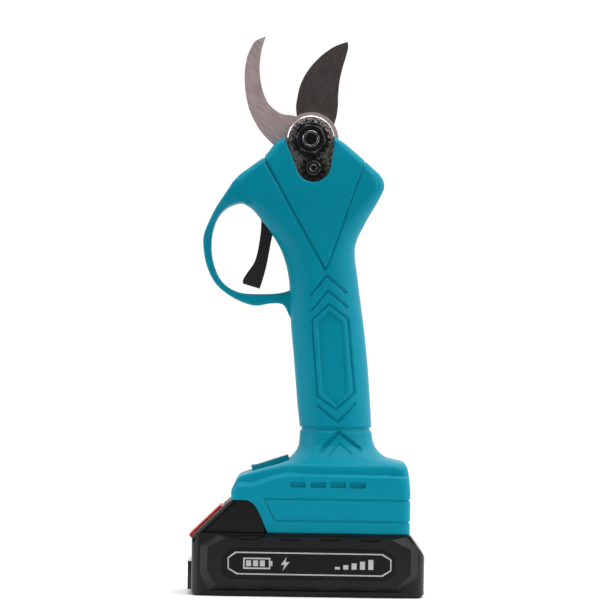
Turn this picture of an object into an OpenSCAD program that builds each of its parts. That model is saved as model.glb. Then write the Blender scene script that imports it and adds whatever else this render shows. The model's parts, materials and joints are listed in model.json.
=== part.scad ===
// Battery electric pruner, standing on its battery with the blades up.
// X runs from the trigger side (-X) to the back of the hand (+X), Y across the
// tool, Z up. The origin is the middle of the battery's underside.
// Head, drive and trigger are drawn in the tool frame: its origin is the blade
// pivot, its z axis runs along the handle and leans towards the trigger.

/* [Housing] */
// Lean of the handle from upright, in degrees
lean = 5.6; // [4:0.1:7]
// Blade pivot, distance behind the battery's middle
pivot_x = -0.3; // [-1:0.1:1]
// Height of the blade pivot above the ground
pivot_z = 220.5; // [219:0.5:222]
// Wall of the two housing halves
wall = 2.4; // [2:0.1:2.6]
// Width of the trigger guard across the tool
guard_w = 11; // [9:0.5:14]

/* [Blades] */
// Thickness of each blade
blade_t = 4; // [3.6:0.1:4]
// Radius of the round blade hubs
hub_r = 13.3; // [12.5:0.1:13.4]
// Gap between the two blades
blade_gap = 0.2; // [0.15:0.05:0.3]
// How far the moving blade swings to close, in degrees
swing = 44; // [30:1:46]
// Diameter of the pivot bolt
bolt_d = 8; // [7:0.5:8]

/* [Drive] */
// Teeth on a full turn of the blade's crown gear
crown_teeth = 32; // [32:1:32]
// Teeth on the drive pinion
pinion_teeth = 9; // [9:1:9]
// Module of crown gear and pinion
crown_module = 1.25; // [1.25:0.05:1.25]
// Module of the planetary stage
planet_module = 0.6; // [0.55:0.01:0.6]
// Teeth on the sun gear and on each planet
sun_teeth = 12; // [12:1:12]
// Diameter of the motor can
motor_d = 25; // [23:0.5:25]
// Length of the motor can
motor_len = 46; // [38:1:46]

/* [Battery] */
// Length of the battery body
pack_l = 112; // [111:0.5:112.5]
// Width over the raised side panels
pack_w = 75; // [74:0.5:76]
// Height of the battery body without its rails
pack_h = 30; // [30:0.1:30]
// Height of the seam between the battery's two cases
pack_seam = 14.5; // [13:0.5:15]
// Diameter of a battery cell
cell_d = 18.4; // [18:0.1:18.4]
// Length of a battery cell
cell_l = 65; // [64:0.5:65.2]

/* [Controls] */
// Width of the trigger
trigger_w = 9; // [7:0.5:10]
// Travel of the power button
button_travel = 1.2; // [0.6:0.1:1.4]
// Travel of the battery's release button
release_travel = 4; // [3:0.5:4]

/* [Hidden] */
$fn = 64;
teal = "#0a8299";
black = "#232326";
steel = "#9c9694";
dark_steel = "#474341";
oxide = "#2a2a2c";

// ---- layers across the head, from the nut's side to the bolt head's side ----
moving_front = -3.0;
moving_back = moving_front + blade_t;
counter_back = moving_front - blade_gap;
counter_front = counter_back - blade_t;
cheek_t = 4.2;
front_cheek_face = counter_front - cheek_t;
lock_t = 2.8;
lock_face = front_cheek_face - lock_t;
nut_face = lock_face - 5.2;
crown_back = 10.1;
rear_cheek_front = crown_back + 0.3;
rear_cheek_face = rear_cheek_front + 4;

// ---- drive, heights along the handle below the pivot ----
crown_r = crown_module * crown_teeth / 2;
pinion_r = crown_module * pinion_teeth / 2;
pinion_face = 5;
pinion_mid = -crown_r;
head_top = -24;
head_bottom = -36;
gear_case_r = 13;
gear_case_bottom = -50;
planet_orbit = planet_module * sun_teeth;
planet_top = -41;
planet_h = 5;
carrier_top = -37.6;
carrier_t = 2.8;
shaft_r = 2.5;
motor_top = gear_case_bottom - 2;
motor_bottom = motor_top - motor_len;
bell_t = 6;

// ---- trigger ----
trigger_pivot = [-23.9, -31.3];
pin_r = 1.5;

// ---- base and battery ----
floor_z = 46.1;
floor_t = 2.2;
rail_top = 45.7;
rail_half = 30.3;
rail_neck = 25.8;
lip_top = 33.2;
skin_w = 68;
slope_angle = 18.5;
slope_mid = [-17.5, 62.4];
pack_back = 57;
pack_front = pack_back - pack_l;
cell_pitch = 19;
cell_count = 5;
cell_mid = 1.6;
cell_z = 11.6;
pocket_floor = 26 - release_travel;

// ======================= shared shapes =======================

// a flat outline in x and z, made solid from y0 to y1
module plate(y0, y1) {
    translate([0, y1, 0]) rotate([90, 0, 0]) linear_extrude(y1 - y0) children();
}

// moves its children into the tool frame at the blade pivot
module tool_frame() {
    translate([pivot_x, 0, pivot_z]) rotate([0, -lean, 0]) children();
}

// moves its children onto the sloping front deck of the base
module deck_frame() {
    translate([slope_mid[0], 0, slope_mid[1]]) rotate([0, -slope_angle, 0]) children();
}

// a round bar along Y
module rod_y(r, y0, y1) {
    translate([0, y1, 0]) rotate([90, 0, 0]) cylinder(r = r, h = y1 - y0);
}

// a slot outline with round ends
module slot_2d(length, height) {
    square([length - height, height], center = true);
    for (side = [-1, 1]) translate([side * (length - height) / 2, 0]) circle(d = height);
}

// one point of a smooth open curve through the given points
function curve_point(p, i, t) =
    let (
        a = p[max(i - 1, 0)],
        b = p[i],
        c = p[i + 1],
        d = p[min(i + 2, len(p) - 1)]
    )
    0.5 * (2 * b + (c - a) * t + (2 * a - 5 * b + 4 * c - d) * t * t
        + (3 * b - a - 3 * c + d) * t * t * t);

// a smooth open curve through the given points
function smooth(p, steps = 4) = concat(
    [for (i = [0:len(p) - 2], s = [0:steps - 1]) curve_point(p, i, s / steps)],
    [p[len(p) - 1]]);

function reversed(list) = [for (i = [len(list) - 1:-1:0]) list[i]];

function polar(r, angle) = [r * cos(angle), r * sin(angle)];

// angle in degrees by which an involute leaves its base circle at radius r
function involute(base, r) =
    let (t = sqrt(max(pow(r / base, 2) - 1, 0))) t * 180 / PI - atan(t);

// half the angle of a tooth at radius r, with the tooth thinned by slack
function half_tooth(teeth, pitch, r, slack) =
    90 / teeth - slack / pitch * 90 / PI
    + involute(pitch * cos(20), pitch) - involute(pitch * cos(20), max(r, pitch * cos(20)));

// involute gear outline with one tooth on the +x axis
function gear_points(teeth, module_mm, tip, root, slack) =
    let (pitch = teeth * module_mm / 2, steps = 4)
    [for (k = [0:teeth - 1], side = [-1, 1], s = [0:steps])
        let (
            f = (side < 0 ? s : steps - s) / steps,
            r = pitch - root + f * (root + tip)
        )
        polar(r, 360 * k / teeth + side * half_tooth(teeth, pitch, r, slack))];

module gear_2d(teeth, module_mm, tip = 0.9, root = 1.15, slack = 0.12) {
    polygon(gear_points(teeth, module_mm, tip * module_mm, root * module_mm, slack));
}

// an even-sided hexagon by its width across flats
module hexagon(flats) {
    circle(r = flats / sqrt(3), $fn = 6);
}

// a wire of round section along a list of points, as one closed mesh; the coil turns round axis
module wire(path, r, axis, sides = 8) {
    ring = function (i)
        let (
            a = path[max(i - 1, 0)],
            b = path[min(i + 1, len(path) - 1)],
            dir = (b - a) / norm(b - a),
            u = cross(dir, axis) / norm(cross(dir, axis)),
            v = cross(dir, u)
        )
        [for (k = [0:sides - 1]) path[i] + r * (cos(360 * k / sides) * u
            + sin(360 * k / sides) * v)];
    last = (len(path) - 1) * sides;
    polyhedron(
        points = [for (i = [0:len(path) - 1]) each ring(i)],
        faces = concat(
            [[for (k = [0:sides - 1]) k]],
            [for (i = [0:len(path) - 2], k = [0:sides - 1], half = [0, 1])
                let (n = (k + 1) % sides, a = i * sides, b = (i + 1) * sides)
                half == 0 ? [a + k, b + k, b + n] : [a + k, b + n, a + n]],
            [[for (k = [sides - 1:-1:0]) last + k]]),
        convexity = 6);
}

// ======================= housing =======================

// Each table gives a measure of the housing at a few heights above the ground.
front_edge = [[30, -36.4], [50, -36.4], [53, -35.2], [55.5, -34], [57.2, -32.6],
    [58.5, -29.7], [59.6, -26.3], [65.3, -8.9], [67.6, -6.8], [69.6, -5.3],
    [73, -4.1], [78, -3.8], [93, -5.2], [115, -7.2], [132, -8.9], [150, -9.8],
    [156, -10.7], [162, -12.3], [167.5, -14.5], [174.3, -18.6], [180, -23],
    [186.6, -29], [190, -35], [193, -39.5], [196, -40.2], [198.5, -39],
    [202.4, -36.1], [206.4, -31.7], [212.4, -24], [217.9, -18.7], [222, -13.4]];
back_edge = [[30, 49.8], [50, 49.9], [56, 49.4], [62, 48.4], [63.7, 47.6],
    [64.8, 45], [65.6, 41.5], [66.5, 38.4], [68.2, 35.9], [70, 34.1],
    [72.5, 32.6], [76, 31.4], [82, 30.9], [94, 30.1], [109, 28.9], [125, 27.2],
    [148, 24], [156, 22.9], [162, 22], [166, 21.7], [169, 21.9], [172, 22.7],
    [180, 26.5], [195.6, 34.1], [197, 35.2], [198.5, 35.7], [200.5, 35.5],
    [203.4, 34], [207, 30], [211.1, 25], [218.6, 16.1], [222, 11.8]];
half_width = [[30, 33], [52, 33], [57, 32.6], [58, 31.4], [62, 30.8], [64, 29.4],
    [66, 26], [68, 22.8], [70, 20.7], [73, 19], [78, 18.3], [100, 18],
    [150, 17.6], [165, 18.2], [180, 19.4], [195, 20.2], [210, 19.6], [222, 18]];
corner = [[30, 4], [56, 5], [62, 8], [66, 12], [70, 13.5], [100, 13.5],
    [160, 13], [180, 10], [200, 6], [215, 4.5], [222, 4]];
levels = [pack_h + 0.2, 42, 50, 53, 55.5, each [57:0.75:60], 62, 64, 65.3, each [66.5:1.5:72.5],
    75, 78, 85, 100, 115, 132, each [150:6:162], each [166:4:190], each [193:2.5:203],
    206, 210, 214, 218, 222];
arc_steps = 5;

// one edge of the housing's cross-section, from the front seam round to the back seam
function half_ring(z, side, inset) =
    let (
        x0 = lookup(z, front_edge) + inset,
        x1 = lookup(z, back_edge) - inset,
        w = lookup(z, half_width) - inset,
        r = min(lookup(z, corner) - inset / 2, (x1 - x0) / 2.05)
    )
    concat(
        [[x0, 0, z]],
        [for (s = [0:arc_steps]) let (a = 90 * s / arc_steps)
            [x0 + r - r * cos(a), side * (w - r + r * sin(a)), z]],
        [for (s = [arc_steps:-1:0]) let (a = 90 * s / arc_steps)
            [x1 - r + r * cos(a), side * (w - r + r * sin(a)), z]],
        [[x1, 0, z]]);

// the bent wall of one housing half, open at both ends
module wall_loft(side) {
    per = 2 * (2 * arc_steps + 4);
    rows = len(levels);
    rings = [for (z = levels) concat(half_ring(z, side, 0), reversed(half_ring(z, side, wall)))];
    ends = [for (k = [0:per / 2 - 2]) [k, k + 1, per - 2 - k, per - 1 - k]];
    skin = [for (i = [0:rows - 2], k = [0:per - 1], half = [0, 1])
        let (n = (k + 1) % per, a = i * per, b = (i + 1) * per)
        half == 0 ? [a + k, b + k, b + n] : [a + k, b + n, a + n]];
    top = [for (f = ends) reversed([for (v = f) v + (rows - 1) * per])];
    all = concat(ends, skin, top);
    polyhedron(
        points = [for (r = rings) each r],
        faces = side < 0 ? all : [for (f = all) reversed(f)],
        convexity = 8);
}

// the loop of the trigger guard, in x and z above the ground
guard_outer = [[-38, 198], [-42.3, 194.5], [-47.6, 184.6], [-51.3, 175], [-51.9, 168.5], [-50.2, 159],
    [-45.5, 149.8], [-37, 143.2], [-27, 139.6], [-18.5, 140.7], [-12.6, 140], [-9.2, 134], [-8.2, 130]];
guard_inner = [[-29.6, 188], [-34, 189.3], [-40.8, 186.7], [-45.6, 180.7],
    [-47.9, 171], [-47, 160.5], [-42.6, 151], [-34.6, 146], [-24, 145.2], [-13, 146.1], [-9, 149.5]];

module guard_2d() {
    polygon(concat(smooth(guard_outer), [[-6.6, 130], [-7.6, 149.5]],
        reversed(smooth(guard_inner)), [[-28, 190.5], [-34, 197]]));
}

// the U-shaped window in each side of the head, in the tool frame
module window_2d() {
    hull() {
        translate([0.2, -12.5]) circle(r = 8.4);
        translate([-12.7, 1.2]) square([24.6, 4]);
    }
}

boss_places = [[-30.5, 195.5], [28.5, 197], [22.6, 187], [10.5, 104], [12.8, 84],
    [43.5, 57], [-28, 52.5]];
boss_reach = [18.5, 18.5, 17.6, 16.4, 16.6, 31, 31];
screw_seat = [14, 14, 13, 12.5, 12.5, 24, 24];
boss_r = 3.8;
screw_r = 1.4;
screw_head_r = 2.5;
screw_len = 20;

module bosses(side) {
    for (i = [0:len(boss_places) - 1])
        translate([boss_places[i][0], 0, boss_places[i][1]])
            difference() {
                rod_y(boss_r, side < 0 ? -boss_reach[i] : 0, side < 0 ? 0 : boss_reach[i]);
                rod_y(screw_r, -40, 40);
            }
}

// half rings that cradle the motor inside the handle
module motor_ribs(side) {
    tool_frame()
        for (z = [-62, -90])
            translate([0, 0, z])
                intersection() {
                    difference() {
                        cylinder(r = 15.1, h = 2);
                        translate([0, 0, -1]) cylinder(d = motor_d + 0.2, h = 4);
                    }
                    translate([-20, side < 0 ? -20 : 0, -1]) cube([40, 20, 4]);
                }
}

// the whole of one housing half; side is -1 for the left half and 1 for the right
module housing_half(side) {
    lo = side < 0 ? -1 : 0;
    hi = side < 0 ? 0 : 1;
    color(teal)
        difference() {
            union() {
                wall_loft(side);
                plate(lo * guard_w / 2, hi * guard_w / 2) guard_2d();
                plate(lo * 31.5, hi * 31.5) translate([-35, floor_z]) square([83.5, floor_t]);
                plate(side < 0 ? -31.5 : 26.3, side < 0 ? -26.3 : 31.5)
                    translate([-18, pack_h + 0.3]) square([66, lip_top - pack_h - 0.3]);
                bosses(side);
                motor_ribs(side);
            }
            // window that shows the blade lock
            tool_frame() plate(side < 0 ? -26 : rear_cheek_front - 0.1,
                side < 0 ? counter_front + 0.1 : 26) window_2d();
            // opening between the halves for the blades and their hubs
            tool_frame() plate(counter_front - 0.6, moving_back + 0.6)
                polygon([[-34, -11], [-20, 12], [20, 12], [24, -3], [11, -1], [-8, -1], [-18, -9], [-30, -16]]);
            tool_frame() rod_y(hub_r + 0.5, counter_front, rear_cheek_front);
            // slot for the trigger
            tool_frame() plate(-trigger_w / 2 - 0.5, trigger_w / 2 + 0.5)
                polygon([[-38, -38], [-17.5, -55], [-12.5, -55], [-22, -34], [-29, -31.5]]);
            // front of the skirt, cut back over the battery's shoulder
            plate(-40, 40) polygon(concat([[-40, 29], [-40, floor_z]],
                smooth([[-28.8, floor_z], [-25.9, 44.6], [-23.2, 41], [-18.5, 30.3]]), [[-18.2, 29]]));
            // blind slots along each side of the base
            for (x = [-4.4, 5.3, 14.9, 24.4])
                translate([x, 0, 53.8]) plate(side < 0 ? -40 : 31.6, side < 0 ? -31.6 : 40)
                    slot_2d(7.7, 2.8);
            // hole for the power button
            deck_frame() translate([0, 0, -3]) cube([19.6, 16.8, 12], center = true);
            // way out for the battery's latch tongue
            translate([-40, -6, floor_z - 1]) cube([12, 12, 3.6]);
            // clearance for the trigger pin
            tool_frame() translate([trigger_pivot[0], 0, trigger_pivot[1]])
                rod_y(pin_r + 0.05, -20, 20);
            // screw holes, open on the right
            for (p = boss_places) translate([p[0], 0, p[1]])
                rod_y(screw_r, -13.5, 13.5);
            if (side > 0)
                for (i = [0:len(boss_places) - 1])
                    translate([boss_places[i][0], 0, boss_places[i][1]])
                        rod_y(screw_head_r + 0.2, screw_seat[i], 40);
        }
}

module left_housing() {
    housing_half(-1);
}

module right_housing() {
    housing_half(1);
}

module housing_screws() {
    color(oxide)
        for (i = [0:len(boss_places) - 1])
            translate([boss_places[i][0], 0, boss_places[i][1]]) {
                seat = screw_seat[i];
                difference() {
                    rod_y(screw_head_r, seat, seat + 2);
                    translate([0, seat + 2.1, 0]) rotate([90, 0, 0]) cylinder(r = 1.2, h = 1.3, $fn = 6);
                }
                rod_y(screw_r - 0.05, seat - screw_len, seat);
            }
}

// ======================= blades =======================

counter_outer = [[-17.6, 51.7], [-22.7, 50], [-25.6, 46.3], [-28, 41.2], [-29.5, 33.5],
    [-29.7, 25], [-28.4, 16.3], [-25.1, 8.1], [-21, 2], [-15.5, -4]];
counter_inner = [[-17.6, 51.7], [-20, 46], [-21.7, 38.5], [-22, 31.5], [-21.1, 24.6],
    [-19, 19], [-15.6, 15.4], [-12, 13.3], [-8.6, 12.6], [-6, 12.6]];
moving_spine = [[21.7, 46], [21.8, 43.3], [20.6, 39.5], [18.2, 33.5], [16.2, 27],
    [15, 20.5], [14.4, 15], [13, 9.3], [11, 5]];
moving_edge = [[21.7, 46], [17.6, 45], [13.4, 43.4], [7.5, 39.6], [1.6, 34],
    [-2.8, 27.3], [-5.3, 19.6], [-6, 15.4], [-5.8, 11]];

module counter_blade() {
    color(steel) tool_frame() difference() {
        plate(counter_front, counter_back) {
            circle(r = hub_r);
            polygon(concat(smooth(counter_outer), reversed(smooth(counter_inner))));
        }
        rod_y(bolt_d / 2, -30, 30);
    }
}

module moving_blade() {
    color(dark_steel) tool_frame() difference() {
        union() {
            rod_y(hub_r - 0.3, moving_front, moving_back);
            plate(moving_front, moving_back)
                polygon(concat(smooth(moving_spine), [[0, 0]], reversed(smooth(moving_edge))));
        }
        rod_y(bolt_d / 2 + 1, -30, 30);
        for (a = sector_bolt_angles) rotate([0, -a, 0]) translate([9.4, 0, 0])
            rod_y(1.25, -30, 30);
    }
}

// crown gear sector on the back of the moving blade
sector_bolt_angles = [30, 150, 270];
sector_start = 270 - swing - 10;
sector_end = 282;

module sector_2d(r) {
    polygon(concat([[0, 0]], [for (a = [sector_start:3:sector_end]) polar(r / cos(1.5), a)]));
}

module crown_tooth() {
    tip_y = pinion_r - crown_module;
    root_y = pinion_r + 1.15 * crown_module;
    translate([0, 0, -crown_r - pinion_face / 2]) linear_extrude(pinion_face)
        polygon([[-0.45, tip_y], [0.45, tip_y], [1.15, root_y + 0.1], [-1.15, root_y + 0.1]]);
}

module crown_sector() {
    root_y = pinion_r + 1.15 * crown_module;
    pitch_angle = 360 / crown_teeth;
    color("#77736f") tool_frame() difference() {
        union() {
            plate(moving_back, crown_back) circle(r = hub_r - 1.3);
            plate(root_y, crown_back) intersection() {
                sector_2d(30);
                circle(r = crown_r + pinion_face / 2 + 0.8, $fn = 96);
            }
            for (k = [-4:1]) rotate([0, -(k - 0.5) * pitch_angle, 0]) crown_tooth();
        }
        rod_y(bolt_d / 2 + 0.2, -30, 30);
        for (a = sector_bolt_angles) rotate([0, -a, 0]) translate([9.4, 0, 0]) {
            rod_y(1.25, -30, 30);
            rod_y(2.3, crown_back - 2, 30);
        }
    }
}

module sector_screws() {
    color(oxide) tool_frame()
        for (a = sector_bolt_angles) rotate([0, -a, 0]) translate([9.4, 0, 0]) {
            rod_y(1.2, moving_front + 0.4, crown_back - 1.9);
            difference() {
                rod_y(2.2, crown_back - 2, crown_back - 0.2);
                rod_y(0.9, crown_back - 1.2, crown_back, $fn = 6);
            }
        }
}

// ======================= pivot and its lock =======================

module pivot_bush() {
    color("#a0763a") tool_frame() difference() {
        rod_y(bolt_d / 2 + 0.95, moving_front + 0.1, moving_back - 0.1);
        rod_y(bolt_d / 2 + 0.05, -30, 30);
    }
}

module pivot_bolt() {
    color(oxide) tool_frame() {
        rod_y(bolt_d / 2 - 0.02, nut_face - 1, rear_cheek_face);
        difference() {
            rod_y(7, rear_cheek_face, rear_cheek_face + 4.6);
            plate(rear_cheek_face + 1.6, rear_cheek_face + 5) hexagon(5);
        }
    }
}

module pivot_nut() {
    color(oxide) tool_frame() difference() {
        union() {
            plate(nut_face, lock_face) rotate(-16) hexagon(13);
            rod_y(8.2, lock_face - 0.8, lock_face);
        }
        rod_y(bolt_d / 2, -30, 30);
    }
}

module lock_ring() {
    color(oxide) tool_frame() difference() {
        plate(lock_face, front_cheek_face) rotate(-90) gear_2d(17, 1, slack = 0.25);
        rod_y(bolt_d / 2, -30, 30);
    }
}

lock_gear_z = -14;

module lock_gear() {
    color(oxide) tool_frame() translate([0, 0, lock_gear_z]) difference() {
        plate(lock_face, front_cheek_face) rotate(90 + 180 / 11) gear_2d(11, 1, slack = 0.25);
        rod_y(2.05, -30, 30);
    }
}

module lock_screw() {
    color(oxide) tool_frame() translate([0, 0, lock_gear_z]) {
        rod_y(2, lock_face, counter_front);
        difference() {
            rod_y(3.5, lock_face - 3.6, lock_face);
            plate(lock_face - 4, lock_face - 1.4) hexagon(3);
        }
    }
}

module cheek_2d() {
    circle(r = 11.4);
    translate([-10.6, -34]) square([21.2, 30]);
}

cheek_bolts = [[-8.2, -29], [8.2, -29]];

module front_cheek() {
    color("#3b3a3a") tool_frame() difference() {
        plate(front_cheek_face, counter_front) cheek_2d();
        rod_y(bolt_d / 2, -30, 30);
        translate([0, 0, lock_gear_z]) rod_y(2.05, -30, 30);
        for (p = cheek_bolts) translate([p[0], 0, p[1]]) rod_y(1.6, -30, 30);
    }
}

module rear_cheek() {
    color("#3b3a3a") tool_frame() difference() {
        plate(rear_cheek_front, rear_cheek_face) cheek_2d();
        rod_y(bolt_d / 2, -30, 30);
        for (p = cheek_bolts) translate([p[0], 0, p[1]]) rod_y(1.6, -30, 30);
    }
}

// block that joins both cheeks and carries the output shaft
module gear_head() {
    color("#8d9195") tool_frame() difference() {
        translate([-10.6, counter_front, head_bottom])
            cube([21.2, rear_cheek_front - counter_front, head_top - head_bottom]);
        translate([0, 0, head_bottom - 1]) cylinder(r = 3.4, h = 20);
        translate([0, 0, head_bottom + 3]) cylinder(r = 6.5, h = 20);
        for (p = cheek_bolts) translate([p[0], 0, p[1]]) rod_y(1.25, -30, 30);
    }
}

module cheek_screws() {
    color(oxide) tool_frame()
        for (p = cheek_bolts, front = [true, false]) translate([p[0], 0, p[1]]) {
            seat = front ? front_cheek_face : rear_cheek_face;
            rod_y(1.2, front ? seat : 6, front ? -2.5 : seat);
            difference() {
                rod_y(2.4, front ? seat - 1.8 : seat, front ? seat : seat + 1.8);
                rod_y(1, front ? seat - 2 : seat + 0.8, front ? seat - 0.8 : seat + 2, $fn = 6);
            }
        }
}

// ======================= gearbox and motor =======================

module drive_pinion() {
    color("#8a8681") tool_frame() {
        translate([0, 0, pinion_mid - pinion_face / 2 - 0.5])
            linear_extrude(pinion_face + 1)
                rotate(90) gear_2d(pinion_teeth, crown_module, tip = 0.85, slack = 0.7);
        translate([0, 0, carrier_top]) cylinder(r = shaft_r, h = pinion_mid - pinion_face / 2 - carrier_top);
    }
}

module output_bearing() {
    color("#b9bcc0") tool_frame() translate([0, 0, head_bottom + 3]) difference() {
        cylinder(r = 6.48, h = 5);
        translate([0, 0, -1]) cylinder(r = shaft_r + 0.03, h = 8);
        for (z = [-0.1, 4.5]) translate([0, 0, z]) difference() {
            cylinder(r = 5.3, h = 0.6);
            cylinder(r = 3.7, h = 0.6);
        }
    }
}

module planet_carrier() {
    color("#8a8681") tool_frame() {
        difference() {
            translate([0, 0, carrier_top - carrier_t]) cylinder(r = 9, h = carrier_t);
            translate([0, 0, carrier_top - carrier_t - 1]) cylinder(r = 1.6, h = 2);
        }
        for (k = [0:2]) rotate(120 * k) translate([planet_orbit, 0, planet_top - planet_h])
            cylinder(r = 1, h = planet_h + 1);
    }
}

module planet_gear(k) {
    color("#b58a3c") tool_frame() rotate(120 * k) translate([planet_orbit, 0, planet_top - planet_h])
        difference() {
            linear_extrude(planet_h) gear_2d(sun_teeth, planet_module, tip = 0.75, slack = 0.28);
            translate([0, 0, -1]) cylinder(r = 1.05, h = planet_h + 2);
        }
}

module planet_gear_1() {
    planet_gear(0);
}

module planet_gear_2() {
    planet_gear(1);
}

module planet_gear_3() {
    planet_gear(2);
}

module sun_gear() {
    color("#8a8681") tool_frame() translate([0, 0, planet_top - planet_h - 1]) difference() {
        linear_extrude(planet_h + 1) rotate(180 / sun_teeth)
            gear_2d(sun_teeth, planet_module, tip = 0.75, slack = 0.28);
        translate([0, 0, -1]) cylinder(r = 1.2, h = planet_h + 3);
    }
}

module ring_gear_case() {
    color("#a3a6aa") tool_frame() difference() {
        translate([0, 0, gear_case_bottom]) cylinder(r = gear_case_r, h = head_bottom - gear_case_bottom);
        translate([0, 0, gear_case_bottom + 1.6]) linear_extrude(planet_top - gear_case_bottom - 1.2)
            gear_2d(3 * sun_teeth, planet_module, tip = 1.1, root = 0.8, slack = -0.28);
        translate([0, 0, planet_top + 0.3]) cylinder(r = 10.2, h = head_bottom - planet_top - 1.5);
        translate([0, 0, gear_case_bottom - 1]) cylinder(r = 8, h = 3);
        translate([0, 0, head_bottom - 3]) cylinder(r = 3.4, h = 4);
    }
}

module motor_plate() {
    color("#6d7074") tool_frame() difference() {
        translate([0, 0, motor_top]) cylinder(r = motor_d / 2, h = gear_case_bottom - motor_top);
        translate([0, 0, motor_top - 1]) cylinder(r = 2, h = 4);
        for (side = [-1, 1]) translate([0, side * 8, motor_top - 1]) cylinder(r = 1.3, h = 4);
    }
}

module motor_can() {
    color("#c3c5c8") tool_frame() difference() {
        translate([0, 0, motor_bottom]) cylinder(d = motor_d, h = motor_len);
        translate([0, 0, motor_bottom - 1]) cylinder(d = motor_d - 2, h = motor_len - 0.5);
        translate([0, 0, motor_top - 3]) cylinder(r = 2, h = 4);
    }
}

module motor_end_bell() {
    color(black) tool_frame() {
        difference() {
            translate([0, 0, motor_bottom - bell_t]) cylinder(d = motor_d - 0.4, h = bell_t);
            translate([0, 0, motor_bottom - bell_t + 2]) cylinder(r = 9, h = bell_t);
            translate([0, 0, motor_bottom - bell_t - 1]) cylinder(r = 1.25, h = 8);
        }
        for (side = [-1, 1])
            translate([side * 6 - 1.2, -0.25, motor_bottom - bell_t - 5]) cube([2.4, 0.5, 5]);
    }
}

module motor_rotor() {
    color("#8f5f3d") tool_frame() {
        translate([0, 0, motor_bottom - bell_t - 1.5]) cylinder(r = 1.15, h = planet_top - motor_bottom + bell_t);
        translate([0, 0, motor_bottom + 5]) difference() {
            cylinder(r = 9.6, h = motor_len - 12);
            for (k = [0:4]) rotate(72 * k) translate([7.6, 0, -1]) cylinder(r = 1.6, h = motor_len);
        }
        translate([0, 0, motor_bottom - 2]) cylinder(r = 4, h = 5.5);
    }
}

// ======================= trigger =======================

trigger_front = [[-27.2, -35], [-27.7, -40], [-28.6, -45], [-30.4, -52], [-32.6, -57.3],
    [-36.2, -61.7], [-38.5, -64.8], [-38.8, -66.9]];
trigger_back = [[-31, -70], [-29.5, -66.7], [-26.9, -59.7], [-24.8, -52.4], [-22.9, -45.6],
    [-20.4, -40], [-19.6, -35]];

module trigger() {
    color(black) tool_frame() difference() {
        union() {
            plate(-trigger_w / 2, trigger_w / 2)
                polygon(concat(smooth(trigger_front), smooth(trigger_back)));
            translate([trigger_pivot[0], 0, trigger_pivot[1]]) rod_y(4.6, -trigger_w / 2, trigger_w / 2);
            // arm that carries the magnet
            plate(-2, 2) polygon([[-21, -31], [-17.2, -38.5], [-15.6, -38.5], [-15.6, -41.5],
                [-18.2, -41.5], [-23, -38]]);
        }
        translate([trigger_pivot[0], 0, trigger_pivot[1]]) {
            rod_y(pin_r + 0.05, -20, 20);
            // room for the coil of the return spring
            difference() {
                rod_y(5.2, -2.2, 2.2);
                rod_y(2.4, -3, 3);
            }
        }
    }
}

module trigger_pin() {
    color("#b9bcc0") tool_frame() translate([trigger_pivot[0], 0, trigger_pivot[1]])
        rod_y(pin_r, -15, 15);
}

// torsion spring wound on the trigger's hub, with one leg on the housing
module trigger_spring() {
    turns = 3;
    pitch = 0.9;
    coil_r = 3.5;
    start_y = -turns * pitch / 2;
    color("#c3c5c8") tool_frame() translate([trigger_pivot[0], 0, trigger_pivot[1]])
        wire(concat([[-2, start_y, 6.6]],
            [for (s = [0:12 * turns]) let (a = 120 + 30 * s)
                [coil_r * cos(a), start_y + pitch * s / 12, coil_r * sin(a)]],
            [[-5.4, -start_y, 2]]), 0.4, [0, 1, 0]);
}

module trigger_magnet() {
    color("#d0d2d4") tool_frame() translate([-15.6, -1.5, -41.4]) cube([0.9, 3, 2.8]);
}

module hall_sensor_board() {
    color("#1c5a3a") tool_frame() {
        translate([-16.6, -10, -35.9]) cube([3, 20, 1]);
        translate([-16, -1.6, -36.7]) cube([2, 3.2, 0.8]);
    }
}

// ======================= electronics in the base =======================

module control_board() {
    color("#1c5a3a") translate([-22, -26, floor_z + floor_t]) difference() {
        cube([62, 52, 1.6]);
        translate([-1, 18, -1]) cube([6, 16, 4]);
    }
}

module power_stage() {
    board_top = floor_z + floor_t + 1.6;
    color("#55585c") {
        for (k = [0:5]) translate([8 + 5 * k, -18, board_top]) cube([4, 9, 2.4]);
        translate([6, 4, board_top]) cube([14, 14, 1.8]);
        for (k = [0:1]) translate([28 + 9.5 * k - 2, 13, board_top]) cylinder(r = 4, h = 7.5);
    }
}

module power_switch() {
    color("#8f9396") deck_frame() {
        translate([-6, -8, -7]) cube([12, 16, 1.2]);
        translate([-3, -3, -5.8]) cube([6, 6, 1.8 - button_travel]);
    }
}

module power_button() {
    color("#0d95ad") deck_frame() {
        // pad that stands proud of the deck
        translate([-9.3, -8, -1]) cube([18.6, 16, 3.1]);
        // skirt below the deck, and the pusher
        translate([-8.6, -7.4, -2.4]) cube([17.2, 14.8, 1.6]);
        translate([0, 0, -3.9]) cylinder(r = 2, h = 2);
    }
}

module terminal_block() {
    color(black) difference() {
        translate([34, -14, 38.8]) cube([12.6, 28, floor_z - 38.8]);
        translate([36.5, -12, 44]) cube([7.6, 24, 3]);
    }
}

module terminal_blades() {
    color("#c9a24a") for (y = [-10, -3.3, 3.3, 10])
        translate([24, y - 0.4, 40.2]) cube([10, 0.8, 4.6]);
}

// ======================= battery =======================

panel_outer = [[-50.8, 10.4], [-46.4, 2.6], [45.6, 2.6], [53.8, 10.4], [53.8, 24.4],
    [48.2, 29.4], [-42.6, 29.4], [-50.8, 24.4]];
panel_inner = [[-47.2, 11.5], [-43, 5.4], [43.8, 5.4], [50.4, 11.5], [50.4, 23.4],
    [41, 28], [-38.4, 28], [-47.2, 23.4]];
label_outline = [[-40, 11.1], [-36, 8.5], [39, 8.5], [42.8, 11.9], [42.8, 19.8],
    [37.3, 23.4], [-35.3, 23.4], [-40, 19]];

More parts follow.
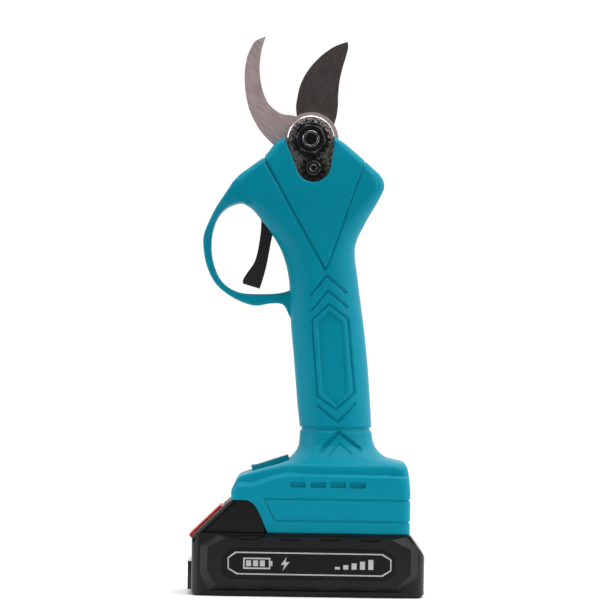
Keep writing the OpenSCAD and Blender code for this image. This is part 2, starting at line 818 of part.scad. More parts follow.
// rectangle with round corners, centred
module round_rect(length, width, r) {
    square([length - 2 * r, width], center = true);
    square([length, width - 2 * r], center = true);
    for (sx = [-1, 1], sy = [-1, 1]) translate([sx * (length / 2 - r), sy * (width / 2 - r)]) circle(r = r);
}

// outer form of both cases together
module pack_form() {
    intersection() {
        plate(-skin_w / 2, skin_w / 2) polygon([[pack_front + 1.5, 0], [pack_back - 2, 0],
            [pack_back, 2], [pack_back, 20], [54.2, 24], [49.8, pack_h], [-53.5, pack_h],
            [pack_front, 28], [pack_front, 1.5]]);
        translate([(pack_front + pack_back) / 2, 0, -1])
            linear_extrude(pack_h + 2) round_rect(pack_l, skin_w, 6);
    }
    for (side = [-1, 1]) hull() {
        panel_y = side * pack_w / 2;
        plate(side < 0 ? panel_y : panel_y - 0.1, side < 0 ? panel_y + 0.1 : panel_y) polygon(panel_inner);
        plate(side < 0 ? -34 : 33.9, side < 0 ? -33.9 : 34) polygon(panel_outer);
    }
    // shoulder with the release button's slope
    plate(-rail_half, rail_half) polygon([[-54.5, pack_h - 1], [-38.3, 44.6], [-36.8, rail_top], [-29.2, rail_top],
        [-26.4, 44.2], [-23.8, 40.6], [-19.1, pack_h - 1]]);
    // rails
    plate(-rail_neck, rail_neck) translate([-30, pack_h - 1]) square([75, 6]);
    plate(-rail_half, rail_half) polygon([[-22.5, lip_top + 0.4], [45, lip_top + 0.4], [45, rail_top],
        [-32, rail_top], [-28, 43]]);
}

// hollow inside both cases
module pack_hollow() {
    plate(-32, 32) polygon([[pack_front + 2.4, 2.4], [pack_back - 2.4, 2.4], [pack_back - 2.4, 20], [49, 27.6],
        [pack_front + 2.4, 27.6]]);
    plate(-23.4, 23.4) polygon([[-18, 27], [42.4, 27], [42.4, 36], [18, 36], [18, 43.6], [-18, 43.6]]);
}

module pack_cuts() {
    for (side = [-1, 1]) {
        lo = side < 0 ? -40 : pack_w / 2 - 0.8;
        plate(lo, lo + (side < 0 ? 40 - pack_w / 2 + 0.8 : 3)) polygon(label_outline);
        // finger grooves along the lower and upper edges
        for (k = [0:3]) {
            y0 = side < 0 ? -40 : skin_w / 2 + 1.4;
            translate([-27.6 + 19.3 * k, 0, 2.9]) plate(y0, y0 + 4.6) slot_2d(11.4, 3.2);
            translate([-27.2 + 19.3 * k, 0, 28.4]) plate(y0, y0 + 4.6) slot_2d(9.6, 2.8);
        }
    }
    // pocket for the release button and its latch
    translate([-56, -17.4, pocket_floor]) cube([17, 34.8, 30]);
    translate([-39.2, -5.4, 30]) cube([10.8, 10.8, 20]);
    // pocket for the terminals at the end of the rails
    translate([20, -15, 38.2]) cube([26, 30, 10]);
}

pack_screw_places = [[-49.6, -28], [-49.6, 28], [52.3, -28], [52.3, 28]];

module pack_bosses() {
    for (p = pack_screw_places) translate([p[0], p[1], 1]) cylinder(r = 2.6, h = p[0] < 0 ? 26.8 : 19.4);
}

module pack_shell() {
    difference() {
        union() {
            difference() {
                pack_form();
                difference() {
                    pack_hollow();
                    translate([-57, -19.8, pocket_floor - 1.3]) cube([20.4, 39.6, 40]);
                }
            }
            pack_bosses();
        }
        pack_cuts();
        for (p = pack_screw_places) translate([p[0], p[1], -1]) {
            cylinder(r = 1.25, h = 19);
            cylinder(r = 2.3, h = 3);
        }
    }
}

module battery_lower_case() {
    color(black) difference() {
        intersection() {
            pack_shell();
            translate([-70, -50, 0]) cube([140, 100, pack_seam]);
        }
        translate([pack_front - 1, -20.2, 2]) cube([2, 40.4, 20]);
    }
}

module battery_upper_case() {
    color(black) difference() {
        intersection() {
            pack_shell();
            translate([-70, -50, pack_seam]) cube([140, 100, 40]);
        }
        translate([pack_front - 1, -20.2, 2]) cube([2, 40.4, 14.5]);
    }
}

module battery_cells() {
    color("#3c8f5a") for (k = [0:cell_count - 1])
        translate([cell_mid + (k - 2) * cell_pitch, 0, cell_z]) {
            rod_y(cell_d / 2 - 0.2, -cell_l / 2 + 1.2, cell_l / 2 - 1.2);
        }
}

module cell_straps() {
    color("#c9ccd0") for (side = [-1, 1], k = [0:1]) {
        x = cell_mid + (side < 0 ? -2 + 2 * k : -1 + 2 * k) * cell_pitch;
        y = side < 0 ? -cell_l / 2 + 0.8 : cell_l / 2 - 1.1;
        translate([x - 3, y, cell_z - 3]) cube([cell_pitch + 6, 0.3, 6]);
    }
}

module battery_board() {
    color("#1c5a3a") {
        translate([-17, -22, 28.4]) cube([56, 44, 1.6]);
        for (k = [0:3]) translate([-10 + 8 * k, -8, 30]) cube([5, 6, 1.6]);
    }
}

module battery_contacts() {
    color("#c9a24a") difference() {
        translate([20.6, -14.4, 38.4]) cube([12.6, 28.8, 6.4]);
        for (y = [-10, -3.3, 3.3, 10]) translate([23, y - 0.8, 39.8]) cube([12, 1.6, 6]);
    }
}

module battery_screws() {
    color(oxide) for (p = pack_screw_places) translate([p[0], p[1], 0]) {
        translate([0, 0, 2]) cylinder(r = 1.2, h = 15);
        difference() {
            translate([0, 0, 0.4]) cylinder(r = 2.1, h = 1.6);
            cylinder(r = 1, h = 1.4, $fn = 6);
        }
    }
}

// red pad on the slope, with a finger ledge and ribs
module release_button() {
    color("#b5201f") difference() {
        plate(-17, 17) polygon([[-55.6, 27], [-56.6, 28.4], [-42, 42.6], [-40, 42.6], [-40, 35], [-48.5, 27]]);
        for (k = [0:4]) translate([-52.6 + 2.2 * k, 0, 33.2 + 2.14 * k]) rotate([0, 45, 0])
            cube([0.9, 26, 1], center = true);
        // seat of the spring under the pad
        translate([-46, 0, 20]) cylinder(r = 3.3, h = 11.9);
    }
}

// black tongue that holds the battery in the base
module release_latch() {
    color(black) {
        plate(-5, 5) polygon([[-39.9, 36], [-33.6, 36], [-33.6, 47.5], [-36.4, 44], [-39.9, 43]]);
    }
}

module release_spring() {
    coils = 4;
    free_h = 8.9;
    color("#c3c5c8") translate([-46, 0, pocket_floor + 0.4])
        wire([for (s = [0:12 * coils]) [2.6 * cos(30 * s), 2.6 * sin(30 * s), free_h * s / (12 * coils)]], 0.4, [0, 0, 1]);
}

module gauge_panel() {
    color("#1a1a1c") difference() {
        translate([pack_front - 2, -20, 2.2]) cube([2.8, 40, 13.7]);
        translate([pack_front - 3, 8, 5]) cube([5, 8, 8]);
        for (k = [0:3]) translate([pack_front - 2.1, -15 + 5 * k, 7.4]) cube([0.5, 3, 3]);
    }
}

module gauge_button() {
    color("#b5201f") translate([pack_front - 2, 8.3, 5.3]) cube([1.8, 7.4, 7.4]);
}

module pack_label() {
    polygon([for (p = label_outline) [p[0] + (p[0] < 0 ? 0.2 : -0.2), p[1] + (p[1] < 15 ? 0.2 : -0.2)]]);
}

module left_label() {
    color("#101012") plate(-pack_w / 2 + 0.3, -pack_w / 2 + 0.8) pack_label();
}

module right_label() {
    color("#101012") plate(pack_w / 2 - 0.8, pack_w / 2 - 0.3) pack_label();
}

left_housing();
right_housing();
housing_screws();
counter_blade();
moving_blade();
crown_sector();
sector_screws();
pivot_bush();
pivot_bolt();
pivot_nut();
lock_ring();
lock_gear();
lock_screw();
front_cheek();
rear_cheek();
gear_head();
cheek_screws();
drive_pinion();
output_bearing();
planet_carrier();
planet_gear_1();
planet_gear_2();
planet_gear_3();
sun_gear();
ring_gear_case();
motor_plate();
motor_can();
motor_end_bell();
motor_rotor();
trigger();
trigger_pin();
trigger_spring();
trigger_magnet();
hall_sensor_board();
control_board();
power_stage();
power_switch();
power_button();
terminal_block();
terminal_blades();
battery_upper_case();
battery_lower_case();
battery_cells();
cell_straps();
battery_board();
battery_contacts();
battery_screws();
release_button();
release_latch();
release_spring();
gauge_panel();
gauge_button();
left_label();
right_label();
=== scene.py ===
"""Looks of a battery electric pruner: detailed pieces, finishes and stage round its CAD frame."""

import json
import math
import bmesh
import bpy
import numpy as np
from bpy.props import FloatProperty, FloatVectorProperty, PointerProperty
from mathutils import Matrix, Vector


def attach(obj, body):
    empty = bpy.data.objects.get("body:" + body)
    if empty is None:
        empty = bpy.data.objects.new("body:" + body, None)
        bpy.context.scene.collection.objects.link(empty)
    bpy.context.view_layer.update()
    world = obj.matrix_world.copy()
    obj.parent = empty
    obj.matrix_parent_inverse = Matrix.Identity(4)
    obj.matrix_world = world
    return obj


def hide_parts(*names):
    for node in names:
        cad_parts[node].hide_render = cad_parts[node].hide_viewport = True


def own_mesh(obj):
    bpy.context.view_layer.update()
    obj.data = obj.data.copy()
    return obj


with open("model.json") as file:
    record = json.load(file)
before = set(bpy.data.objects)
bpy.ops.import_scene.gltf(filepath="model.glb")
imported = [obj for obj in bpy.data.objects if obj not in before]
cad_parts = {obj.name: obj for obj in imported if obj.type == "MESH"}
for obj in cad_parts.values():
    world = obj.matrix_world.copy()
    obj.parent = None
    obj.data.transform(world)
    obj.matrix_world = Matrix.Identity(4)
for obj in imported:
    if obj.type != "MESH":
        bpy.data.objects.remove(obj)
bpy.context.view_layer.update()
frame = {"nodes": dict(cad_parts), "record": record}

bl_info = {
    "name": "Battery Pruner",
    "version": (1, 0, 0),
    "blender": (4, 5, 0),
    "location": "3D View > Sidebar > Pruner",
    "description": "Builds the pieces, finishes and stage of a battery electric pruner",
    "category": "Object",
}

MM = 0.001
# The tool frame leans by LEAN about the blades' pivot, given as x and z in mm.
LEAN = math.radians(5.6)
PIVOT = (-0.3, 220.5)
# The sloping deck that carries the power button, with its middle as the origin.
DECK = Matrix.Translation((-0.0175, 0, 0.0624)) @ Matrix.Rotation(math.radians(-18.5), 4, "Y")
# A reach across the tool that cuts right through a blade, and the gaps that a weld closes in a
# CAD mesh and at a blade's tip, in mm.
THROUGH = 30
CAD_WELD, TIP_WELD = 0.004, 0.01

# Tables of the housing's section: height, then the measure, in mm.
FRONT_EDGE = [
    (30, -36.4), (50, -36.4), (53, -35.2), (55.5, -34), (57.2, -32.6), (58.5, -29.7),
    (59.6, -26.3), (65.3, -8.9), (67.6, -6.8), (69.6, -5.3), (73, -4.1), (78, -3.8),
    (93, -5.2), (115, -7.2), (132, -8.9), (150, -9.8), (156, -10.7), (162, -12.3),
    (167.5, -14.5), (174.3, -18.6), (180, -23), (186.6, -28.6), (190, -34), (193, -37.7),
    (196, -38.6), (198.5, -38.1), (202.4, -35.1), (206.4, -29.9), (212.4, -22.2),
    (217.9, -17.9), (222, -13.2),
]
BACK_EDGE = [
    (30, 49.8), (50, 49.9), (56, 49.4), (62, 48.4), (63.7, 47.6), (64.8, 45),
    (65.6, 41.5), (66.5, 38.4), (68.2, 35.9), (70, 34.1), (72.5, 32.6), (76, 31.4),
    (82, 30.9), (94, 30.1), (109, 28.9), (125, 27.2), (148, 24), (156, 22.9),
    (162, 22), (166, 21.7), (169, 21.9), (172, 22.7), (180, 26.5), (195.6, 34.9),
    (197, 35.4), (198.5, 35.5), (200.5, 35.1), (203.4, 33.4), (207, 29.6), (211.1, 25),
    (218.6, 16.1), (222, 11.8),
]
HALF_WIDTH = [
    (30, 33), (57, 33), (60, 32.8), (62.6, 32.4), (63.6, 31.5), (64.8, 29.4),
    (66, 27.3), (68, 23.7), (70, 21), (73, 19.1), (78, 18.4), (100, 18), (150, 17.6),
    (165, 18.2), (180, 19.4), (195, 20.2), (210, 19.6), (222, 18),
]
CORNER = [
    (30, 4), (56, 5), (62, 8), (66, 12), (70, 13.5), (100, 13.5), (160, 13),
    (180, 10), (200, 6), (215, 4.5), (222, 4),
]
# Outlines in x and z, in mm: the guard's in the model's frame, the blades' in the tool's.
GUARD_OUTER = [
    (-32.5, 202.3), (-37, 200.2), (-39.2, 197), (-41.2, 194), (-44.4, 189.2),
    (-47.1, 184.6), (-51.3, 175), (-51.9, 168.5), (-50.2, 159), (-45.5, 149.8),
    (-37, 143.2), (-27, 139.6), (-18.5, 140.7), (-12.6, 140), (-9.2, 134), (-5, 130),
]
GUARD_INNER = [
    (-25.5, 189.5), (-29.6, 188), (-34, 189.3), (-40.8, 186.7), (-45.6, 180.7),
    (-47.9, 171), (-47, 160.5), (-42.6, 151), (-34.6, 146), (-24, 145.2),
    (-13, 146.1), (-5, 149.5),
]
COUNTER_OUTER = [
    (-17.6, 51.7), (-22.7, 50), (-25.6, 46.3), (-28, 41.2), (-29.5, 33.5),
    (-29.7, 25), (-28.4, 16.3), (-25.1, 8.1), (-21, 2), (-15.5, -4),
]
COUNTER_INNER = [
    (-17.6, 51.7), (-20, 46), (-21.7, 38.5), (-22, 31.5), (-21.1, 24.6), (-19, 19),
    (-15.6, 15.4), (-12, 13.3), (-8.6, 12.6), (-5, 11.6),
]
MOVING_SPINE = [
    (21.7, 46), (21.8, 43.3), (20.6, 39.5), (18.2, 33.5), (16.2, 27), (15, 20.5),
    (14.4, 15), (13, 9.3), (10.5, 4),
]
MOVING_EDGE = [
    (21.7, 46), (17.6, 45), (13.4, 43.4), (7.5, 39.6), (1.6, 34), (-2.8, 27.3),
    (-5.3, 19.6), (-6, 15.4), (-5.5, 10), (-3, 3),
]
# Screw bosses: place, how far each reaches from the seam, and where the screw's head sits.
BOSSES = [
    ((-30.5, 195.5), 15.5, 14), ((28.5, 197), 15.5, 14), ((22.6, 187), 14.5, 13),
    ((10.5, 104), 16, 12.5), ((12.8, 84), 16, 12.5), ((43.5, 57), 30.2, 24),
    ((-28, 52.5), 30.2, 24),
]
BOSS_RADIUS, SCREW_RADIUS, SCREW_HEAD_RADIUS = 3.8, 1.4, 2.7
# Heights of the housing's foot, of the top of its base and of its head, in mm.
FOOT, BASE_TOP, HEAD_TOP = 30.2, 66, 222
# Near faces of the blades across the tool, their thickness and the radii of their hubs, in mm.
COUNTER_FACE, MOVING_FACE, BLADE_THICKNESS = -7.2, -3.0, 4.0
COUNTER_HUB, MOVING_HUB = 13.3, 13.0
# Outer line of the printed border, and the ink's inner and outer face across the tool.
LABEL_LINE = [
    (-37.5, 13.3), (-33, 10.6), (36.9, 10.4), (41.1, 13.2), (41.1, 18.6), (36.8, 21.3),
    (-33.9, 21.5), (-37.5, 18.7),
]
INK = (37.18, 37.27)


# ---- colours and properties -------------------------------------------------


def linear(code):
    """An sRGB hex colour as linear red, green, blue and full alpha."""
    parts = [int(code[i : i + 2], 16) / 255 for i in (1, 3, 5)]
    flat = [c / 12.92 if c <= 0.04045 else ((c + 0.055) / 1.055) ** 2.4 for c in parts]
    return (*flat, 1.0)


def length(name, description, default_mm):
    """A length in millimetres as a property in metres."""
    return FloatProperty(
        name=name,
        description=description,
        default=default_mm * MM,
        min=0.0,
        unit="LENGTH",
        precision=5,
    )


def colour(name, description, code):
    """A colour given as sRGB hex as a property in linear values."""
    return FloatVectorProperty(
        name=name,
        description=description,
        default=linear(code),
        size=4,
        min=0,
        max=1,
        subtype="COLOR",
    )


class PrunerSizes(bpy.types.PropertyGroup):
    """Sizes of the moulded and ground details."""

    wall: length("Wall", "Thickness of the housing halves", 2.4)
    guard_width: length("Guard width", "Width of the trigger guard across the tool", 11)
    guard_round: length("Guard rounding", "Radius along the guard's edges", 1.7)
    groove_depth: length("Groove depth", "Depth of the moulded chevrons and the long panel", 0.95)
    seam_depth: length("Neck groove depth", "Depth of the groove round the neck", 0.95)
    ledge: length("Ledge", "Step in the base's sides", 2.9)
    slot_depth: length("Slot depth", "Depth of the slots in the base's sides", 1.4)
    blade_bevel: length("Blade bevel", "Width of the ground bevel along the moving blade", 7)
    case_round: length("Case rounding", "Rounding along the battery's edges", 0.7)
    shoulder_round: length(
        "Shoulder rounding", "Rounding along the edges of the battery's shoulder", 3
    )


class PrunerColours(bpy.types.PropertyGroup):
    """Main colours of the finishes."""

    housing: colour("Housing", "Moulded housing", "#0089a0")
    button: colour("Power button", "Moulded power button", "#0a90a4")
    trigger: colour("Trigger", "Moulded trigger", "#262424")
    counter: colour("Counter blade", "Ground steel of the hooked blade", "#e2cdcb")
    moving: colour("Moving blade", "Darkened steel of the cutting blade", "#6e6764")
    battery: colour("Battery", "Moulded battery cases", "#090909")
    release: colour("Release button", "Battery release", "#c0201d")


# ---- finishes ---------------------------------------------------------------

PLASTIC_IOR = 1.5
# Nearly all of a noise's values lie between these two.
NOISE_LOW, NOISE_HIGH = 0.3, 0.7
# Every finish by its slot's name, filled in when the pieces are built.
FINISH = {}


def add(tree, kind, links=None, **settings):
    """Adds a node with its settings and inputs, and links inputs to other nodes' outputs."""
    node = tree.nodes.new("ShaderNode" + kind)
    for key, value in settings.items():
        if key in node.bl_rna.properties:
            setattr(node, key, value)
        else:
            node.inputs[key.replace("_", " ")].default_value = value
    for key, source in (links or {}).items():
        tree.links.new(source, node.inputs[key])
    return node


def finish(name, base, roughness, metallic=0.0, specular=0.5):
    """A material with one shader, whose constant values sit on the shader's own sockets."""
    material = bpy.data.materials.new(name)
    material.use_nodes = True
    tree = material.node_tree
    tree.nodes.clear()
    shader = add(
        tree, "BsdfPrincipled", Base_Color=base, Roughness=roughness, Metallic=metallic
    )
    if not metallic:
        shader.inputs["IOR"].default_value = PLASTIC_IOR
        shader.inputs["Specular IOR Level"].default_value = specular
    add(tree, "OutputMaterial", links={"Surface": shader.outputs["BSDF"]})
    return material, tree, shader


def shade(base, factor):
    """The colour made lighter or darker by a factor."""
    return (*[min(1.0, c * factor) for c in base[:3]], 1.0)


def grain(
    tree,
    shader,
    base,
    size_mm,
    spread,
    rough,
    bump_mm,
    stretch=(1, 1, 1),
    turn=(0, 0, 0),
    detail=3.0,
):
    """Varies colour, roughness and height by one noise.

    Its grain is size_mm wide and is drawn out by stretch. Returns the colour ramp.
    """
    position = add(tree, "TexCoord")
    mapping = add(
        tree,
        "Mapping",
        links={"Vector": position.outputs["Object"]},
        vector_type="TEXTURE",
        Scale=stretch,
        Rotation=turn,
    )
    noise = add(
        tree,
        "TexNoise",
        links={"Vector": mapping.outputs["Vector"]},
        Scale=1 / (size_mm * MM),
        Detail=detail,
        Roughness=0.55,
    )
    ramp = add(tree, "ValToRGB", links={"Fac": noise.outputs["Fac"]})
    dark, light = ramp.color_ramp.elements
    dark.position, light.position = NOISE_LOW, 0.72
    dark.color, light.color = shade(base, 1 - spread), shade(base, 1 + spread)
    tree.links.new(ramp.outputs["Color"], shader.inputs["Base Color"])
    level = add(
        tree,
        "MapRange",
        links={"Value": noise.outputs["Fac"]},
        From_Min=NOISE_LOW,
        From_Max=NOISE_HIGH,
        To_Min=rough[0],
        To_Max=rough[1],
    )
    tree.links.new(level.outputs["Result"], shader.inputs["Roughness"])
    bump = add(
        tree,
        "Bump",
        links={"Height": noise.outputs["Fac"]},
        Strength=1.0,
        Distance=bump_mm * MM,
    )
    tree.links.new(bump.outputs["Normal"], shader.inputs["Normal"])
    return ramp


def make_finishes():
    """Every finish by its slot's name."""
    own = bpy.context.scene.pruner_colours
    made = {}

    # ABS, injection moulded in a satin mould: an even colour with soft, slightly broken highlights.
    satin, moulded_spread = (0.36, 0.46), 0.04
    plastics = {
        # slot: (name, colour, roughness range, spread of the colour, specular level)
        "teal_plastic": ("abs_moulded_teal", own.housing, satin, moulded_spread, 0.1),
        "button_plastic": ("abs_moulded_light_teal", own.button, satin, moulded_spread, 0.15),
        "battery_plastic": ("abs_moulded_black", own.battery, (0.28, 0.38), 0.12, 0.32),
        "red_plastic": ("abs_moulded_red", own.release, satin, moulded_spread, 0.35),
        # Glass-filled nylon from a spark-eroded mould: near black, with a dull broken sheen.
        "trigger_plastic": ("nylon_textured_black", own.trigger, (0.5, 0.62), 0.15, 0.25),
        "black_nylon": ("nylon_moulded_black", linear("#222224"), (0.45, 0.58), 0.12, 0.35),
        # Filled epoxy cast round the components: a matt dark grey.
        "components": ("epoxy_moulded_grey", linear("#3a3b3e"), (0.5, 0.6), 0.15, 0.35),
        # Clear-fronted gloss plastic over the charge lights: deep black with a clean highlight.
        "gauge_plastic": (
            "polycarbonate_gloss_black", linear("#121214"), (0.1, 0.16), 0.05, 0.35,
        ),
        # Printed polycarbonate film: flat, near black, with a low even sheen.
        "label_film": ("polycarbonate_film_black", linear("#0f0d0e"), (0.32, 0.4), 0.1, 0.2),
        # Solder mask over copper and glass fibre: glossy green with faint unevenness.
        "circuit_board": (
            "epoxy_solder_mask_green", linear("#1a5a38"), (0.2, 0.32), 0.15, 0.35,
        ),
        # Heat-shrunk PVC sleeve: glossy green that shows the roundness of the cells.
        "cell_wrap": ("pvc_shrunk_green", linear("#3c8f5a"), (0.2, 0.28), 0.05, 0.35),
    }
    # A moulded skin has pores about 1 mm across, shallow enough to break only the highlights.
    for slot, (name, base, rough, spread, specular) in plastics.items():
        material, tree, shader = finish(name, base, 0.4, specular=specular)
        grain(tree, shader, base, 0.9, spread, rough, 0.012)
        made[slot] = material

    # Steel, surface ground in one pass: pale grey with long straight slanting scratches.
    material, tree, shader = finish("steel_ground_bright", own.counter, 0.42, metallic=1.0)
    ramp = grain(
        tree, shader, own.counter, 0.4, 0.2, (0.4, 0.56), 0.012,
        stretch=(18, 1, 1), turn=(0, math.radians(40), 0), detail=6.0,
    )
    ramp.color_ramp.elements[0].position = 0.36
    ramp.color_ramp.elements[1].position = 0.62
    made["ground_steel"] = material

    # Hardened and darkened steel, brushed along the blade: dark with faint upright streaks.
    material, tree, shader = finish("steel_brushed_dark", own.moving, 0.4, metallic=1.0)
    grain(
        tree, shader, own.moving, 0.5, 0.3, (0.36, 0.5), 0.01,
        stretch=(1, 1, 14), turn=(0, math.radians(20), 0), detail=6.0,
    )
    made["hardened_steel"] = material

    # Steel turned on a lathe after casting: a bright ring of fine cut marks.
    material, tree, shader = finish("steel_turned_bright", linear("#f2f2f2"), 0.25, metallic=1.0)
    grain(tree, shader, linear("#f0eeec"), 0.4, 0.06, (0.2, 0.3), 0.004)
    made["machined_rim"] = material

    # Steel as cast and oiled: dark and lumpy, with small wet-looking glints.
    material, tree, shader = finish("steel_cast_oiled", linear("#b3a9a4"), 0.4, metallic=1.0)
    grain(tree, shader, linear("#aca29d"), 1.3, 0.8, (0.2, 0.55), 0.7, detail=5.0)
    made["cast_steel"] = material

    # Steel blackened in hot salts and greased: almost black and glossy; its rounded edges take the
    # paler finish below as a painted highlight.
    material, tree, shader = finish("steel_black_oxide", linear("#3a383a"), 0.3, metallic=1.0)
    grain(tree, shader, linear("#3a383a"), 0.8, 0.35, (0.18, 0.4), 0.03)
    made["black_oxide"] = material

    # Blackened steel made pale on its rounded edges: thin bright lines of painted highlight.
    material, tree, shader = finish("steel_black_oxide_painted_highlight", linear("#a4a2a2"), 0.3, metallic=1.0)
    grain(tree, shader, linear("#a09e9e"), 1.2, 0.8, (0.2, 0.4), 0.02)
    made["worn_edge"] = material

    metals = {
        # slot: (name, colour, grain in mm, spread, roughness range, bump in mm)
        "sector_steel": ("steel_hobbed_grey", "#77736f", 0.5, 0.12, (0.3, 0.42), 0.01),
        "bronze": ("bronze_sintered", "#a0763a", 0.3, 0.15, (0.35, 0.5), 0.01),
        "cast_aluminium": ("aluminium_die_cast", "#9a9da1", 1.2, 0.08, (0.4, 0.55), 0.03),
        "bearing_steel": ("steel_polished_bright", "#c2c4c8", 0.6, 0.04, (0.12, 0.2), 0.002),
        "zinc_steel": ("steel_zinc_plated", "#c3c5c8", 2.5, 0.08, (0.25, 0.38), 0.004),
        "spring_steel": ("steel_drawn_wire", "#a9acb0", 0.4, 0.06, (0.22, 0.34), 0.004),
        "copper": ("copper_wound_varnished", "#9c5a38", 0.5, 0.2, (0.2, 0.35), 0.03),
        "magnet_metal": ("nickel_plated_magnet", "#c4c3c0", 1.0, 0.04, (0.15, 0.22), 0.002),
        "gold_contacts": ("copper_gold_plated", "#c9a24a", 0.8, 0.06, (0.18, 0.28), 0.003),
        "nickel": ("nickel_rolled_strip", "#bfc0bf", 0.6, 0.05, (0.25, 0.35), 0.003),
    }
    for slot, (name, code, size, spread, rough, bump) in metals.items():
        material, tree, shader = finish(name, linear(code), rough[0], metallic=1.0)
        grain(tree, shader, linear(code), size, spread, rough, bump)
        made[slot] = material

    # Silver ink on the film: pale grey with a weak metallic sheen.
    silver = linear("#c2c0c0")
    material, tree, shader = finish("ink_screen_printed_silver", silver, 0.4, metallic=0.3)
    grain(tree, shader, linear("#bdbbbb"), 0.5, 0.06, (0.36, 0.46), 0.002)
    made["silver_ink"] = material
    return made


# ---- curves and tables ------------------------------------------------------


def smooth_table(rows, at):
    """A smooth curve through a table that never overshoots its values."""
    keys, values = np.array(rows, float).T
    gap = np.diff(keys)
    slope = np.diff(values) / gap
    lean = np.zeros_like(values)
    same = slope[:-1] * slope[1:] > 0
    a, b = 2 * gap[1:] + gap[:-1], gap[1:] + 2 * gap[:-1]
    both = np.where(same, a / np.where(same, slope[:-1], 1) + b / np.where(same, slope[1:], 1), 1)
    lean[1:-1] = np.where(same, (a + b) / both, 0)
    i = np.clip(np.searchsorted(keys, at, side="right") - 1, 0, len(gap) - 1)
    t = np.clip((at - keys[i]) / gap[i], 0, 1)
    return (
        (2 * t**3 - 3 * t**2 + 1) * values[i]
        + (t**3 - 2 * t**2 + t) * gap[i] * lean[i]
        + (3 * t**2 - 2 * t**3) * values[i + 1]
        + (t**3 - t**2) * gap[i] * lean[i + 1]
    )


def smooth_path(points, count):
    """count points, evenly spaced, on a smooth curve through the given ones."""
    p = np.array(points, float)
    held = np.vstack([p[0], p, p[-1]])
    fine = []
    for i in range(len(p) - 1):
        a, b, c, d = held[i : i + 4]
        square, cube = 2 * a - 5 * b + 4 * c - d, 3 * b - a - 3 * c + d
        for t in np.arange(0, 1, 0.05):
            fine.append(0.5 * (2 * b + (c - a) * t + square * t**2 + cube * t**3))
    fine = np.array(fine + [p[-1]])
    run = np.concatenate([[0], np.cumsum(np.linalg.norm(np.diff(fine, axis=0), axis=1))])
    at = np.linspace(0, run[-1], count)
    return np.stack([np.interp(at, run, fine[:, 0]), np.interp(at, run, fine[:, 1])], 1)


def step(low, high, value):
    """0 below low, 1 above high, smooth between."""
    t = np.clip((value - low) / (high - low), 0, 1)
    return t * t * (3 - 2 * t)


def line_gap(x, z, a, b):
    """Distance from the points (x, z) to the line from a to b."""
    dx, dz = b[0] - a[0], b[1] - a[1]
    t = np.clip(((x - a[0]) * dx + (z - a[1]) * dz) / (dx * dx + dz * dz), 0, 1)
    return np.hypot(x - a[0] - t * dx, z - a[1] - t * dz)


def path_gap(x, z, points):
    """Distance from the points (x, z) to a path of straight lines."""
    return np.min([line_gap(x, z, a, b) for a, b in zip(points, points[1:])], axis=0)


def outline_gap(x, z, points):
    """Signed distance to a convex outline, given clockwise or not; negative inside."""
    p = np.array(points, float)
    middle = p.mean(0)
    gaps = []
    for a, b in zip(p, np.roll(p, -1, 0)):
        n = np.array([b[1] - a[1], a[0] - b[0]]) / np.hypot(*(b - a))
        if (middle - a) @ n > 0:
            n = -n
        gaps.append((x - a[0]) * n[0] + (z - a[1]) * n[1])
    return np.max(gaps, axis=0)


def to_tool(x, z):
    """Model x and z as the tool frame's, at the blade pivot."""
    dx, dz = x - PIVOT[0], z - PIVOT[1]
    return dx * math.cos(LEAN) + dz * math.sin(LEAN), dz * math.cos(LEAN) - dx * math.sin(LEAN)


def from_tool(points):
    """Points of the tool frame as x and z of the model."""
    p = np.array(points, float)
    c, s = math.cos(LEAN), math.sin(LEAN)
    x, z = PIVOT[0] + p[:, 0] * c - p[:, 1] * s, PIVOT[1] + p[:, 0] * s + p[:, 1] * c
    return np.stack([x, z], 1)


def full_turn(count):
    """Evenly spaced angles of one whole turn."""
    return np.linspace(0, 2 * math.pi, count, endpoint=False)


# ---- solids -----------------------------------------------------------------


def solid(name, points_mm, faces):
    """A mesh object from points in mm."""
    mesh = bpy.data.meshes.new(name)
    mesh.from_pydata((np.array(points_mm, float) * MM).tolist(), [], [list(f) for f in faces])
    mesh.validate()
    piece = bpy.data.objects.new(name, mesh)
    bpy.context.scene.collection.objects.link(piece)
    return piece


def plate(name, outline, y0, y1, tool=False):
    """A flat outline in x and z, made solid from y0 to y1."""
    p = from_tool(outline) if tool else np.array(outline, float)
    turn = np.sum(p[:, 0] * np.roll(p[:, 1], -1) - p[:, 1] * np.roll(p[:, 0], -1))
    if turn < 0:
        p = p[::-1]
    n = len(p)
    points = [(x, y0, z) for x, z in p] + [(x, y1, z) for x, z in p]
    sides = [(i, i + n, (i + 1) % n + n, (i + 1) % n) for i in range(n)]
    return solid(name, points, [list(range(n)), list(range(2 * n - 1, n - 1, -1))] + sides)


def rod(name, x, z, r, y0, y1, tool=False, count=48):
    """A round bar across the tool."""
    outline = [(x + r * math.cos(a), z + r * math.sin(a)) for a in full_turn(count)]
    return plate(name, outline, y0, y1, tool)


def block(name, low, high, move=None):
    """A box between two corners in mm, moved by a matrix if there is one."""
    (x0, y0, z0), (x1, y1, z1) = low, high
    piece = plate(name, [(x0, z0), (x1, z0), (x1, z1), (x0, z1)], y0, y1)
    if move is not None:
        piece.data.transform(move)
    return piece


def settle(piece):
    """Makes the piece's modifiers part of its mesh."""
    bpy.context.view_layer.update()
    graph = bpy.context.evaluated_depsgraph_get()
    made = bpy.data.meshes.new_from_object(piece.evaluated_get(graph))
    piece.modifiers.clear()
    old, piece.data = piece.data, made
    bpy.data.meshes.remove(old)
    return piece


